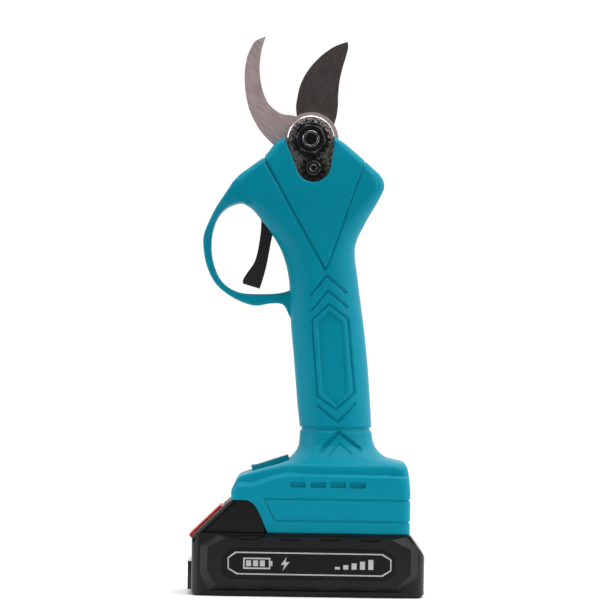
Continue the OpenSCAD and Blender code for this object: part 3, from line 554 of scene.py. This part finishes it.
def carve(piece, cutters, operation="DIFFERENCE"):
    """Cuts the solids out of the piece, joins them to it or keeps what they share."""
    for cutter in cutters:
        modifier = piece.modifiers.new("carve", "BOOLEAN")
        modifier.operation, modifier.solver = operation, "MANIFOLD"
        modifier.object = cutter
    settle(piece)
    for cutter in cutters:
        mesh = cutter.data
        bpy.data.objects.remove(cutter)
        bpy.data.meshes.remove(mesh)
    if not piece.data.polygons:
        raise RuntimeError(f"{piece.name} has nothing left after carving")
    return piece


def from_node(node):
    """A copy of a CAD node's mesh with its flat faces whole, to detail and round."""
    mesh = frame["nodes"][node].data.copy()
    piece = bpy.data.objects.new(node + "_shape", mesh)
    bpy.context.scene.collection.objects.link(piece)
    mesh.materials.clear()
    weld = piece.modifiers.new("weld", "WELD")
    weld.merge_threshold = CAD_WELD * MM
    flat = piece.modifiers.new("flat", "DECIMATE")
    flat.decimate_type, flat.angle_limit = "DISSOLVE", math.radians(1)
    settle(piece)
    # shading that came with the CAD mesh no longer fits
    attributes = piece.data.attributes
    for name in ("custom_normal", "sharp_face", "sharp_edge"):
        if name in attributes:
            attributes.remove(attributes[name])
    return piece


def reserve(mesh, count):
    """Gives the mesh at least count material slots."""
    while len(mesh.materials) < count:
        mesh.materials.append(None)


def soften(piece, width, segments=3, angle=35, rim=0):
    """Rounds the edges sharper than angle; a rim gives the rounded faces that material slot."""
    if rim:
        reserve(piece.data, rim + 1)
    modifier = piece.modifiers.new("soften", "BEVEL")
    modifier.width, modifier.segments = width, segments
    modifier.limit_method, modifier.angle_limit = "ANGLE", math.radians(angle)
    modifier.use_clamp_overlap = True
    modifier.miter_outer = "MITER_ARC"
    modifier.material = rim if rim else -1
    return settle(piece)


def place(piece, name, body, nodes, slot, finishes=None, angle=32, even=True):
    """Names a finished piece, gives it its finishes and rides it on its body for the CAD nodes.

    Without finishes it takes the slot's own one. Edges sharper than angle stay sharp, and even
    keeps the shading of broad flat faces plain up to their rounded edges.
    """
    finishes = finishes or [FINISH[slot]]
    piece.name = piece.data.name = name
    reserve(piece.data, len(finishes))
    for i, material in enumerate(finishes):
        piece.data.materials[i] = material
    piece.data.shade_smooth()
    piece.data.set_sharp_from_angle(angle=math.radians(angle))
    if even:
        normals = piece.modifiers.new("even", "WEIGHTED_NORMAL")
        normals.keep_sharp = True
        settle(piece)
        piece.data.name = name
    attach(piece, body)
    if nodes:
        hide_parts(*nodes)
    return piece


def closed_faces(rows, columns, flip=False):
    """Quads between rings of columns points each, with a face over both ends."""
    faces = []
    for i in range(rows - 1):
        a, b = i * columns, (i + 1) * columns
        for k in range(columns):
            n = (k + 1) % columns
            face = (a + k, a + n, b + n, b + k)
            faces.append(face[::-1] if flip else face)
    low, high = list(range(columns)), list(range((rows - 1) * columns, rows * columns))
    return faces + [low if flip else low[::-1], high[::-1] if flip else high]


# ---- housing ----------------------------------------------------------------

# The window in front of the pivot: a round lower end under straight sides, in the tool frame.
WINDOW = [
    (0.2 + 8.4 * math.cos(a), -12.5 + 8.4 * math.sin(a))
    for a in np.linspace(math.radians(193.5), math.radians(346.5), 40)
] + [(11.9, 1.2), (11.9, 5.2), (-12.7, 5.2), (-12.7, 1.2)]
HEX_OUTER = [
    (1.8, -79.4), (-7.6, -87), (-8, -124.4), (0.8, -131.9), (11.2, -124.4), (11.1, -88),
]
HEX_INNER = [
    (1.7, -82.8), (-4.9, -88.4), (-5.4, -122.8), (1.1, -129.5), (7.6, -124.2), (8.2, -89.1),
]
# Moulded strokes: path, width in mm and share of the full depth. The first two lists are in the
# tool frame, the last in the model's.
V_ARMS = [
    ([(-27, 0.5), (1.3, -63.2)], 1.7, 1),
    ([(26.4, -10.5), (2.1, -63.2)], 1.4, 0.75),
]
CHEVRONS = [
    ([(-6.7, -75.4), (1.9, -66.4), (10.5, -75.4)], 1.6, 1),
    ([(-6.7, -82.6), (1.9, -73.6), (10.5, -82.6)], 1.6, 1),
    ([(-7.5, -128.8), (1.2, -137.6), (10.2, -129.5)], 1.7, 1),
]
BASE_STROKES = [
    ([(6.8, 69.9), (14.8, 79), (25.6, 70.6)], 2.1, 1.4),
    ([(10.4, 67.7), (15.5, 73.3), (21.2, 68.6)], 1.0, 0.6),
    ([(60, 46.8), (-20.7, 46.8), (-15.3, 36.2), (60, 36.3)], 1.3, 0.8),
]
# Blind slots along the base: their middles, and half their straight parts and rounding, in mm.
SLOT_MIDDLES, SLOT_HEIGHT = (-4.4, 5.3, 14.9, 24.4), 53.8
SLOT_HALF, SLOT_ROUND = (3.0, 0.6), 0.8
# Fine relief in mm: the field between the arms of the V, the beads beside the grooves, the
# slots' rims, the eased edges of the window and the foot, and the crown of the broad faces.
FIELD, BEAD, SLOT_RIM, WINDOW_EASE, FOOT_EASE, CROWN = 0.35, 0.15, 0.12, 0.55, 0.5, 0.9
# Lower line of the step above the base's sides.
LEDGE_LINE = [
    (-60, 52.2), (-26.2, 52.4), (-18.1, 55.3), (-9.9, 57.6), (-3.1, 57.8), (60, 57.5),
]


def relief(x, z):
    """How far the moulded graphics lie below the housing's plain surface, in mm."""
    sizes = bpy.context.scene.pruner_sizes
    deep = sizes.groove_depth / MM
    u, v = to_tool(x, z)

    beads = np.zeros_like(x)

    def groove(gap, width, depth):
        """A groove with a fine raised bead along its edges."""
        np.maximum(beads, 1 - step(0, 0.4, np.abs(gap - width / 2 - 0.45)), out=beads)
        return depth * (1 - step(width / 2 - 0.55, width / 2 + 0.2, gap))

    def strokes(depth, along, up, rows):
        """The relief with one more set of moulded strokes."""
        for path, width, share in rows:
            depth = np.maximum(depth, groove(path_gap(along, up, path), width, share * deep))
        return depth

    depth = strokes(np.zeros_like(x), u, v, V_ARMS)
    # the field between the arms of the V stands a little proud
    left = ((u + 23.4) * 55 + (v + 8.2) * 25.2) / 60.5
    right = ((24.7 - u) * 48.7 + (v + 14.5) * 22.9) / 53.8
    depth = depth - FIELD * step(0.5, 1.2, left) * step(0.4, 1.0, right)
    depth = strokes(depth, u, v, CHEVRONS)
    # the long hexagon: a groove round a sunk floor
    outer, inner = outline_gap(u, v, HEX_OUTER), outline_gap(u, v, HEX_INNER)
    depth = np.maximum(depth, groove(np.abs(outer + 0.6), 1.3, deep))
    depth = np.maximum(depth, 1.1 * deep * step(0, 0.6, -inner))
    depth = strokes(depth, x, z, BASE_STROKES)
    # groove round the neck, crisp above and eased below
    neck = step(78.5, 80.2, z) * (1 - step(81.1, 81.5, z))
    depth = np.maximum(depth, sizes.seam_depth / MM * neck)
    depth = depth - BEAD * beads * (depth < 0.1) * (z > 58)
    # slots in the sides of the base, each with a fine raised rim
    for middle in SLOT_MIDDLES:
        away = np.maximum(np.abs(x - middle) - SLOT_HALF[0], 0)
        above = np.maximum(np.abs(z - SLOT_HEIGHT) - SLOT_HALF[1], 0)
        gap = np.hypot(away, above) - SLOT_ROUND
        depth = np.maximum(depth, sizes.slot_depth / MM * (1 - step(-0.25, 0.12, gap)))
        depth = depth - SLOT_RIM * (1 - step(0.1, 0.45, np.abs(gap - 0.35)))
    # eased edges round the window and along the foot
    window = WINDOW_EASE * (1 - step(-0.1, 0.75, outline_gap(u, v, WINDOW)))
    return depth + window + FOOT_EASE * (1 - step(FOOT, 31, z))


def ledge(x, z):
    """Step above the base's sides, which slopes along the deck."""
    line = np.interp(x, *np.array(LEDGE_LINE).T)
    rise = np.interp(x, [-14, 0], [2.6, 1.3])
    full = bpy.context.scene.pruner_sizes.ledge / MM
    return full * step(-0.1, rise, z - line) * (1 - step(64, 71, z))


def shell_half(side):
    """One half of the housing's wall as a closed mesh, with its moulded graphics."""
    wall = bpy.context.scene.pruner_sizes.wall / MM
    pitch = 0.3  # of the mesh in mm, fine enough for the grooves' edges
    below, above = np.arange(FOOT, BASE_TOP, pitch), np.arange(BASE_TOP, HEAD_TOP, pitch)
    z = np.concatenate([below, above, [HEAD_TOP]])[:, None]
    x0, x1 = smooth_table(FRONT_EDGE, z), smooth_table(BACK_EDGE, z)
    w, r = smooth_table(HALF_WIDTH, z), smooth_table(CORNER, z)
    arc = np.radians(np.linspace(0, 90, 51))[None, :]
    # enough columns for a flat 42 mm wide: closer on the slim handle, wider on the base
    across = int(42 / pitch)

    def ring(x0, x1, w, r, turns, spread):
        """Points and outward directions from the front seam round to the back seam."""
        r = np.minimum(r, (x1 - x0) / 2.05)
        up = np.linspace(0, 1, 7)[None, :-1]
        along = np.linspace(0, 1, spread + 2)[None, 1:-1]
        one, cos, sin = np.ones_like(z), np.cos(turns), np.sin(turns)
        seam, side_run = np.ones_like(up), np.ones_like(along)
        x = [x0 * seam, x0 + r - r * cos, x0 + r + (x1 - x0 - 2 * r) * along]
        x += [(x1 - r + r * cos)[:, ::-1], x1 * seam]
        y = [(w - r) * up, w - r + r * sin, w * side_run]
        y += [(w - r + r * sin)[:, ::-1], (w - r) * up[:, ::-1]]
        nx = [-one * seam, -one * cos, 0 * one * along, (one * cos)[:, ::-1], one * seam]
        return np.hstack(x), np.hstack(y), np.hstack(nx)

    x, y, nx = ring(x0, x1, w, r, arc, across)
    ny = np.sqrt(np.maximum(0, 1 - nx**2))
    zz = z * np.ones_like(x)
    # the faces are slightly crowned
    mid, half = (x0 + x1) / 2, (x1 - x0) / 2
    crown = CROWN * np.clip(((x - mid) / half) ** 2, 0, 1) * step(BASE_TOP, 80, zz)
    depth = relief(x, zz)
    x = x - nx * depth
    y = y - ny * (depth + crown) - ny**2 * ledge(x, zz)
    y[:, 0] = y[:, -1] = 0
    # the inner wall needs no graphics, so every tenth point of the corners is enough
    inner_r = np.maximum(r - wall / 2, 1)
    ix, iy, _ = ring(x0 + wall, x1 - wall, w - wall - 0.9, inner_r, arc[:, ::10], 12)
    iy[:, 0] = iy[:, -1] = 0
    columns = x.shape[1] + ix.shape[1]
    px = np.hstack([x, ix[:, ::-1]])
    py = np.hstack([y, iy[:, ::-1]]) * side
    points = np.stack([px, py, z * np.ones_like(px)], 2).reshape(-1, 3)
    return solid("shell", points, closed_faces(len(z), columns, side > 0))


def guard_half(side):
    """One half of the trigger guard, which flares into the head."""
    sizes = bpy.context.scene.pruner_sizes
    count = 90
    outer, inner = smooth_path(GUARD_OUTER, count), smooth_path(GUARD_INNER, count)
    narrow = sizes.guard_width / 2 / MM
    flare = [(0, 18.4), (0.07, 19), (0.13, 17.4), (0.2, 13), (0.29, 8.4)]
    flare += [(0.4, narrow), (0.9, narrow), (1, narrow + 1)]
    width = smooth_table(flare, np.linspace(0, 1, count))
    turns = np.radians(np.linspace(0, 90, 7))
    points = []
    for a, b, w in zip(outer, inner, width):
        thick = np.hypot(*(b - a))
        across = (b - a) / thick
        r = min(sizes.guard_round / MM, 0.45 * thick)
        corner = [(r - r * math.cos(t), w - r + r * math.sin(t)) for t in turns]
        ring = [(a, 0.0)] + [(a + across * run, y) for run, y in corner]
        ring += [(b - across * run, y) for run, y in corner[::-1]] + [(b, 0.0)]
        points += [(p[0], side * y, p[1]) for p, y in ring]
    return solid("guard", points, closed_faces(count, 2 * len(turns) + 2, side < 0))


def housing_half(side):
    """One whole housing half, joined from wall, guard, floor and bosses, then cut."""
    piece = shell_half(side)
    lo, hi = (-1, 0) if side < 0 else (0, 1)
    floor = (46.1, 48.3)
    adds = [guard_half(side)]
    adds.append(block("floor", (-35, lo * 31.2, floor[0]), (48.5, hi * 31.2, floor[1])))
    y = sorted((side * 26.3, side * 31.2))
    adds.append(block("lip", (-18, y[0], 30.4), (48, y[1], 33.2)))
    for (x, z), reach, _ in BOSSES:
        adds.append(rod("boss", x, z, BOSS_RADIUS, lo * reach, hi * reach, count=32))
    carve(piece, adds, "UNION")
    # the window and the ways for the blades, their hub and the trigger, in the tool frame
    opening = (-26, -7.1) if side < 0 else (10.3, 26)
    cuts = [plate("window", WINDOW, *opening, tool=True)]
    blade_way = [
        (-34, -11), (-20, 12), (20, 12), (24, -3), (11, -1), (-8, -1), (-18, -9), (-30, -16),
    ]
    cuts.append(plate("blade_way", blade_way, -7.8, 1.6, tool=True))
    cuts.append(rod("hub_way", 0, 0, 13.8, -7.25, 10.35, tool=True))
    trigger_way = [(-38, -38), (-17.5, -55), (-12.5, -55), (-22, -34), (-29, -31.5)]
    cuts.append(plate("trigger_way", trigger_way, -5, 5, tool=True))
    # the base's front curves down to meet the battery's shoulder
    skirt = smooth_path([(-28.8, 46.1), (-25.9, 44.6), (-23.2, 41), (-18.5, 30.3)], 24)
    waste = [(-40, 29), (-40, 46.1)] + skirt.tolist() + [(-18.2, 29)]
    cuts.append(plate("skirt", waste, -40, 40))
    cuts.append(block("button_way", (-9.8, -8.4, -9), (9.8, 8.4, 3), DECK))
    cuts.append(block("latch_way", (-40, -6, 45.1), (-28, 6, 48.7)))
    for (x, z), _, seat in BOSSES:
        cuts.append(rod("screw_way", x, z, SCREW_RADIUS, -13.5, 13.5, count=24))
        if side > 0:
            cuts.append(rod("head_way", x, z, SCREW_HEAD_RADIUS, seat, 40, count=32))
    return carve(piece, cuts)


class PRUNER_OT_housing(bpy.types.Operator):
    """Builds both halves of the moulded housing with guard, graphics and slots"""

    bl_idname = "pruner.housing"
    bl_label = "Housing"

    def execute(self, context):
        for side, node in ((-1, "left_housing"), (1, "right_housing")):
            half = housing_half(side)
            place(half, node + "_shell", "tool", [node], "teal_plastic", angle=66, even=False)
        return {"FINISHED"}


# ---- blades -----------------------------------------------------------------


def blade_loft(name, back, edge, face, bevel, thin):
    """A blade between its back and its cutting edge.

    It is flat on its near face, and ground down to thin over the width bevel behind its edge.
    """
    rows, columns = 90, 28
    a, b = from_tool(smooth_path(back, rows)), from_tool(smooth_path(edge, rows))
    points = []
    for layer in (0, 1):
        for p, q in zip(a, b):
            wide = max(np.hypot(*(q - p)), 1e-6)
            for s in np.linspace(0, 1, columns):
                near = (1 - s) * wide
                full = thin + (BLADE_THICKNESS - thin) * min(1, near / bevel)
                point = p + (q - p) * s
                points.append((point[0], face + layer * full, point[1]))
    size = rows * columns
    faces = []
    for i in range(rows - 1):
        for k in range(columns - 1):
            m, n = i * columns + k, (i + 1) * columns + k
            q = [m, m + 1, n + 1, n]
            faces += [q, [v + size for v in q[::-1]]]
        for k in (0, columns - 1):
            m, n = i * columns + k, (i + 1) * columns + k
            wall = [m, n, n + size, m + size]
            faces.append(wall if k == 0 else wall[::-1])
    for i in (0, rows - 1):
        for k in range(columns - 1):
            m = i * columns + k
            wall = [m, m + 1, m + 1 + size, m + size]
            faces.append(wall[::-1] if i == 0 else wall)
    piece = solid(name, points, faces)
    weld = piece.modifiers.new("weld", "WELD")
    weld.merge_threshold = TIP_WELD * MM
    return outward(settle(piece))


def outward(piece):
    """Turns every face of a closed mesh outwards."""
    data = bmesh.new()
    data.from_mesh(piece.data)
    bmesh.ops.dissolve_degenerate(data, dist=0.002 * MM, edges=data.edges)
    bmesh.ops.recalc_face_normals(data, faces=data.faces)
    data.to_mesh(piece.data)
    data.free()
    return piece


class PRUNER_OT_blades(bpy.types.Operator):
    """Builds the hooked counter blade and the curved moving blade"""

    bl_idname = "pruner.blades"
    bl_label = "Blades"

    def execute(self, context):
        bevel = context.scene.pruner_sizes.blade_bevel / MM
        counter = blade_loft("counter", COUNTER_OUTER, COUNTER_INNER, COUNTER_FACE, 1.6, 2.6)
        carve(counter, [self.hub(COUNTER_HUB, COUNTER_FACE)], "UNION")
        carve(counter, [rod("bore", 0, 0, 4, -THROUGH, THROUGH, tool=True)])
        soften(counter, 0.22 * MM, 2, 50)
        place(counter, "counter_blade_ground", "tool", ["counter_blade"], "ground_steel")
        moving = blade_loft("moving", MOVING_SPINE, MOVING_EDGE, MOVING_FACE, bevel, 0.35)
        carve(moving, [self.hub(MOVING_HUB, MOVING_FACE)], "UNION")
        ways = [rod("bore", 0, 0, 5, -THROUGH, THROUGH, tool=True)]
        # three screws hold the crown gear's sector to the blade
        circle = 9.4
        for angle in (30, 150, 270):
            a = math.radians(angle)
            x, z = circle * math.cos(a), circle * math.sin(a)
            ways.append(rod("screw", x, z, 1.25, -THROUGH, THROUGH, tool=True, count=24))
        carve(moving, ways)
        soften(moving, 0.15 * MM, 2, 60)
        place(moving, "moving_blade_brushed", "blade", ["moving_blade"], "hardened_steel")
        return {"FINISHED"}

    def hub(self, radius, face):
        """The round plate of a blade about the pivot."""
        return rod("hub", 0, 0, radius, face, face + BLADE_THICKNESS, tool=True, count=96)


# ---- pivot and lock ---------------------------------------------------------


class PRUNER_OT_lock(bpy.types.Operator):
    """Builds the cheeks, the pivot's nut and bolt and the toothed lock that keeps them"""

    bl_idname = "pruner.lock"
    bl_label = "Pivot and lock"

    def execute(self, context):
        cast_rimmed = [FINISH["cast_steel"], FINISH["machined_rim"]]
        # the second finish paints a highlight on the rounded edges of the blackened parts
        black_and_highlight = [FINISH["black_oxide"], FINISH["worn_edge"]]
        for node in ("front_cheek", "rear_cheek"):
            cheek = soften(from_node(node), 0.65 * MM, 1, 40, rim=1)
            place(cheek, node + "_cast", "tool", [node], "cast_steel", cast_rimmed)
        for node, width, worn in (
            ("lock_ring", 0.3, 0), ("lock_gear", 0.3, 0), ("lock_screw", 0.35, 1),
            ("cheek_screws", 0.25, 0),
        ):
            # a highlit part gets the painted highlight on its rounded edges
            piece = soften(from_node(node), width * MM, 2, 30, rim=worn)
            finishes = black_and_highlight[: worn + 1]
            place(piece, node + "_blackened", "tool", [node], "black_oxide", finishes)
        nut = from_node("pivot_nut")
        # corners turned down to a cone on the outer face: radii and places across the tool
        cone, count = [(6.2, -19.5), (6.4, -19.4), (7.7, -18.6), (9, -14.1)], 64
        points = [
            (PIVOT[0] + r * math.cos(t), y, PIVOT[1] + r * math.sin(t))
            for r, y in cone
            for t in full_turn(count)
        ]
        turned = outward(solid("cone", points, closed_faces(len(cone), count)))
        carve(nut, [turned], "INTERSECT")
        carve(nut, [rod("dish", 0, 0, 4.9, -19.8, -18.7, tool=True)])
        # the nut's rounded edges get the painted highlight
        soften(nut, 0.28 * MM, 1, 25, rim=1)
        place(nut, "pivot_nut_blackened", "tool", ["pivot_nut"], "black_oxide", black_and_highlight)
        bolt = from_node("pivot_bolt")
        carve(bolt, [rod("end", 0, 0, 3.0, -21, -17.6, tool=True)])
        # the bolt's rounded edges get the painted highlight
        soften(bolt, 0.17 * MM, 1, 30, rim=1)
        place(bolt, "pivot_bolt_blackened", "tool", ["pivot_bolt"], "black_oxide", black_and_highlight)
        return {"FINISHED"}


# ---- trigger and power button -----------------------------------------------


class PRUNER_OT_controls(bpy.types.Operator):
    """Builds the rounded trigger and the power button on the deck"""

    bl_idname = "pruner.controls"
    bl_label = "Trigger and power button"

    def execute(self, context):
        trigger = soften(from_node("trigger"), 1.1 * MM, 4, 40)
        place(trigger, "trigger_moulded", "trigger_lever", ["trigger"], "trigger_plastic")
        button = from_node("power_button")
        lip = block("lip", (-9.3, -8, -0.9), (-7.6, 8, 2.6), DECK)
        carve(button, [lip], "UNION")
        soften(button, 0.9 * MM, 4, 40)
        place(button, "power_button_moulded", "power_pad", ["power_button"], "button_plastic")
        return {"FINISHED"}


# ---- battery ----------------------------------------------------------------


# The battery's sloping shoulder, from just below its foot to just past its top, and the place
# across the tool of its side.
SHOULDER, SHOULDER_SIDE = [(-57.6, 26), (-33, 49.7)], 30.3


def shoulder_cove(side):
    """The waste outside a rounded edge along one side of the battery's shoulder."""
    r = bpy.context.scene.pruner_sizes.shoulder_round / MM
    path = smooth_path(SHOULDER, 12)
    run = np.gradient(path, axis=0)
    out = np.stack([-run[:, 1], run[:, 0]], 1) / np.hypot(*run.T)[:, None]
    turns = np.radians(np.linspace(0, 90, 9))
    section = [(-r + r * math.sin(t), -r + r * math.cos(t)) for t in turns]
    section += [(2, -r), (2, 2), (-r, 2)]
    points = [
        (p[0] + n[0] * a, side * (SHOULDER_SIDE + b), p[1] + n[1] * a)
        for p, n in zip(path, out)
        for a, b in section
    ]
    return outward(solid("cove", points, closed_faces(len(path), len(section))))


class PRUNER_OT_battery(bpy.types.Operator):
    """Builds the two battery cases with rounded edges, the release, its spring and the gauge"""

    bl_idname = "pruner.battery"
    bl_label = "Battery"

    def execute(self, context):
        sizes = context.scene.pruner_sizes
        for node in ("battery_lower_case", "battery_upper_case"):
            case = soften(from_node(node), sizes.case_round, 3, 28)
            if node == "battery_upper_case":
                carve(case, [shoulder_cove(side) for side in (-1, 1)])
            place(case, node + "_moulded", "battery", [node], "battery_plastic")
        self.moulding("release_button", "release", "red_plastic", 0.4, 2)
        spring, node = from_node("release_spring"), "release_spring"
        place(spring, "release_spring_wound", "battery", [node], "spring_steel")
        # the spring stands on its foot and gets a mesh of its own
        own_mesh(spring)
        self.moulding("release_latch", "release", "battery_plastic", 0.4, 2)
        self.moulding("gauge_panel", "battery", "gauge_plastic", 0.3, 2, "_gloss")
        self.moulding("gauge_button", "gauge_key", "red_plastic", 0.5, 3)
        return {"FINISHED"}

    def moulding(self, node, body, slot, width_mm, segments, kind="_moulded"):
        """A small moulded part with its edges rounded."""
        piece = soften(from_node(node), width_mm * MM, segments, 40)
        place(piece, node + kind, body, [node], slot)


def label_art(side):
    """The printed border and generic battery signs on one label, as thin raised ink."""
    middle = np.mean(LABEL_LINE, axis=0)
    inner = [tuple(middle + (np.array(p) - middle) * (0.985, 0.89)) for p in LABEL_LINE]
    y0, y1 = sorted((side * INK[0], side * INK[1]))

    def patch(name, x0, z0, x1, z1, more=0):
        """A printed rectangle, or with more a hole that cuts right through one."""
        return block(name, (x0, y0 - more, z0), (x1, y1 + more, z1))

    art = plate("border", LABEL_LINE, y0, y1)
    carve(art, [plate("inside", inner, y0 - 1, y1 + 1)])
    # battery sign with its pole, charge bars and a bolt
    signs = [patch("sign", -30, 13.3, -17, 18.7)]
    carve(signs[0], [patch("hole", -29.3, 14, -17.7, 18, 1)])
    signs.append(patch("pole", -16.9, 14.8, -16, 17.2))
    width = 2.4
    for k in range(3):
        x = -28.6 + 3.3 * k
        signs.append(patch("bar", x, 14.6, x + width, 17.4))
    bolt = [(-9.2, 19.2), (-12, 15.4), (-10.2, 15.4), (-11.2, 12.6), (-7.8, 16.8), (-9.7, 16.8)]
    signs.append(plate("bolt", bolt, y0, y1))
    # rising bars
    for k in range(5):
        x = 14 + 4 * k
        signs.append(patch("level", x, 13.6, x + width, 14.8 + 0.9 * k))
    carve(art, signs, "UNION")
    if side > 0:
        # reads the right way round on the far side
        turn = Matrix.Rotation(math.pi, 4, "Z") @ Matrix.Diagonal((1, -1, 1, 1))
        art.data.transform(Matrix.Translation((0.0036, 0, 0)) @ turn)
        art.data.flip_normals()
    return art


class PRUNER_OT_labels(bpy.types.Operator):
    """Builds both film labels and their printed border and signs"""

    bl_idname = "pruner.labels"
    bl_label = "Labels"

    def execute(self, context):
        for side, node in ((-1, "left_label"), (1, "right_label")):
            film = soften(from_node(node), 0.08 * MM, 2, 40)
            place(film, node + "_film", "battery", [node], "label_film")
            ink = [FINISH["silver_ink"]]
            place(label_art(side), node + "_ink", "battery", [], "label_film", ink)
        return {"FINISHED"}


# ---- inner parts ------------------------------------------------------------


class PRUNER_OT_inner(bpy.types.Operator):
    """Gives every CAD part that keeps its shape its finish"""

    bl_idname = "pruner.inner"
    bl_label = "Inner parts"

    def execute(self, context):
        slots = {p["node"]: p["material_slot"] for p in frame["record"]["subparts"]}
        for name, part in frame["nodes"].items():
            if part.hide_render:
                continue
            if not part.material_slots:
                part.data.materials.append(None)
            for holder in part.material_slots:
                holder.material = FINISH[slots[name]]
        return {"FINISHED"}


# ---- stage ------------------------------------------------------------------


FLOOR_RADIUS, FLOOR_DROP = 300, 0.05
# name, place, what it faces, width and height, power: lengths in metres, power in watts
LIGHTS = [
    ("key_light", (0.95, -0.75, 0.75), (0, 0, 0.12), (0.7, 0.9), 6),
    ("side_light", (-1.1, -0.2, 0.5), (0, 0, 0.12), (0.5, 0.9), 5),
    ("top_light", (0.1, 0.0, 1.3), (0, 0, 0), (1.2, 1.2), 13),
]
# A long lens far off, level with the tool's middle and rolled a little.
CAMERA_AT, CAMERA_ROLL = (-0.0021, -2.6, 0.1402), math.radians(0.8)
LENS, SENSOR = 315.4, 36


def softbox(name, stand, aim, size, watts):
    """A soft rectangular light that stands at one point and faces another."""
    light = bpy.data.lights.new(name, "AREA")
    light.shape, light.energy = "RECTANGLE", watts
    light.size, light.size_y = size
    holder = bpy.data.objects.new(name, light)
    bpy.context.scene.collection.objects.link(holder)
    holder.location = stand
    facing = Vector(aim) - Vector(stand)
    holder.rotation_euler = facing.to_track_quat("-Z", "Y").to_euler()


def studio():
    """The light from all round: white behind the object and darker behind the viewer."""
    world = bpy.data.worlds.new("studio")
    world.use_nodes = True
    tree = world.node_tree
    tree.nodes.clear()
    toward = add(tree, "TexCoord")
    parts = add(tree, "SeparateXYZ", links={"Vector": toward.outputs["Generated"]})
    depth = add(
        tree,
        "MapRange",
        links={"Value": parts.outputs["Y"]},
        interpolation_type="SMOOTHSTEP",
        From_Min=-0.75,
        From_Max=0.1,
        To_Min=0.2,
        To_Max=1.03,
    )
    # brighter on the right than on the left
    side = add(
        tree,
        "MapRange",
        links={"Value": parts.outputs["X"]},
        From_Min=-1.0,
        From_Max=1.0,
        To_Min=0.58,
        To_Max=1.42,
    )
    both = add(
        tree,
        "Math",
        links={0: depth.outputs["Result"], 1: side.outputs["Result"]},
        operation="MULTIPLY",
    )
    back = add(
        tree, "Background", links={"Strength": both.outputs["Value"]}, Color=(1, 1, 1, 1)
    )
    add(tree, "OutputWorld", links={"Surface": back.outputs["Background"]})
    return world


class PRUNER_OT_stage(bpy.types.Operator):
    """Sets the pale floor, the soft studio light and the camera"""

    bl_idname = "pruner.stage"
    bl_label = "Stage"

    def execute(self, context):
        scene = context.scene
        count = 64
        ring = [
            (FLOOR_RADIUS * math.cos(a), FLOOR_RADIUS * math.sin(a), -FLOOR_DROP)
            for a in full_turn(count)
        ]
        floor = solid("floor", ring, [range(count)])
        # Painted board, rolled matt white: plain, with a barely uneven surface.
        white = linear("#fafafa")
        material, tree, shader = finish("paint_rolled_matt_white", white, 0.9, specular=0.1)
        grain(tree, shader, linear("#f8f8f8"), 4, 0.01, (0.85, 0.95), 0.01)
        floor.data.materials.append(material)
        scene.world = studio()
        for light in LIGHTS:
            softbox(*light)
        lens = bpy.data.cameras.new("camera")
        lens.lens, lens.sensor_width, lens.clip_start, lens.clip_end = LENS, SENSOR, 0.1, 20
        camera = bpy.data.objects.new("camera", lens)
        scene.collection.objects.link(camera)
        camera.matrix_world = (
            Matrix.Translation(CAMERA_AT)
            @ Matrix.Rotation(math.radians(90), 4, "X")
            @ Matrix.Rotation(CAMERA_ROLL, 4, "Z")
        )
        scene.camera = camera
        scene.view_settings.view_transform = "Standard"
        return {"FINISHED"}


OPERATORS = [
    PRUNER_OT_housing,
    PRUNER_OT_blades,
    PRUNER_OT_lock,
    PRUNER_OT_controls,
    PRUNER_OT_battery,
    PRUNER_OT_labels,
    PRUNER_OT_inner,
    PRUNER_OT_stage,
]


class PRUNER_PT_panel(bpy.types.Panel):
    """Lists the pruner's pieces"""

    bl_idname = "PRUNER_PT_panel"
    bl_label = "Battery pruner"
    bl_space_type = "VIEW_3D"
    bl_region_type = "UI"
    bl_category = "Pruner"

    def draw(self, context):
        for settings in (context.scene.pruner_sizes, context.scene.pruner_colours):
            box = self.layout.box()
            for key in settings.__annotations__:
                box.prop(settings, key)
        for operator in OPERATORS:
            self.layout.operator(operator.bl_idname)


CLASSES = [PrunerSizes, PrunerColours, *OPERATORS, PRUNER_PT_panel]


def register():
    """Adds the classes and the settings they keep on the scene."""
    for cls in CLASSES:
        bpy.utils.register_class(cls)
    bpy.types.Scene.pruner_sizes = PointerProperty(type=PrunerSizes)
    bpy.types.Scene.pruner_colours = PointerProperty(type=PrunerColours)


def unregister():
    """Takes everything away again."""
    del bpy.types.Scene.pruner_colours
    del bpy.types.Scene.pruner_sizes
    for cls in reversed(CLASSES):
        bpy.utils.unregister_class(cls)


def main():
    """Builds every piece in order."""
    register()
    FINISH.update(make_finishes())
    bpy.ops.pruner.housing()
    bpy.ops.pruner.blades()
    bpy.ops.pruner.lock()
    bpy.ops.pruner.controls()
    bpy.ops.pruner.battery()
    bpy.ops.pruner.labels()
    bpy.ops.pruner.inner()
    bpy.ops.pruner.stage()


if __name__ == "__main__":
    main()
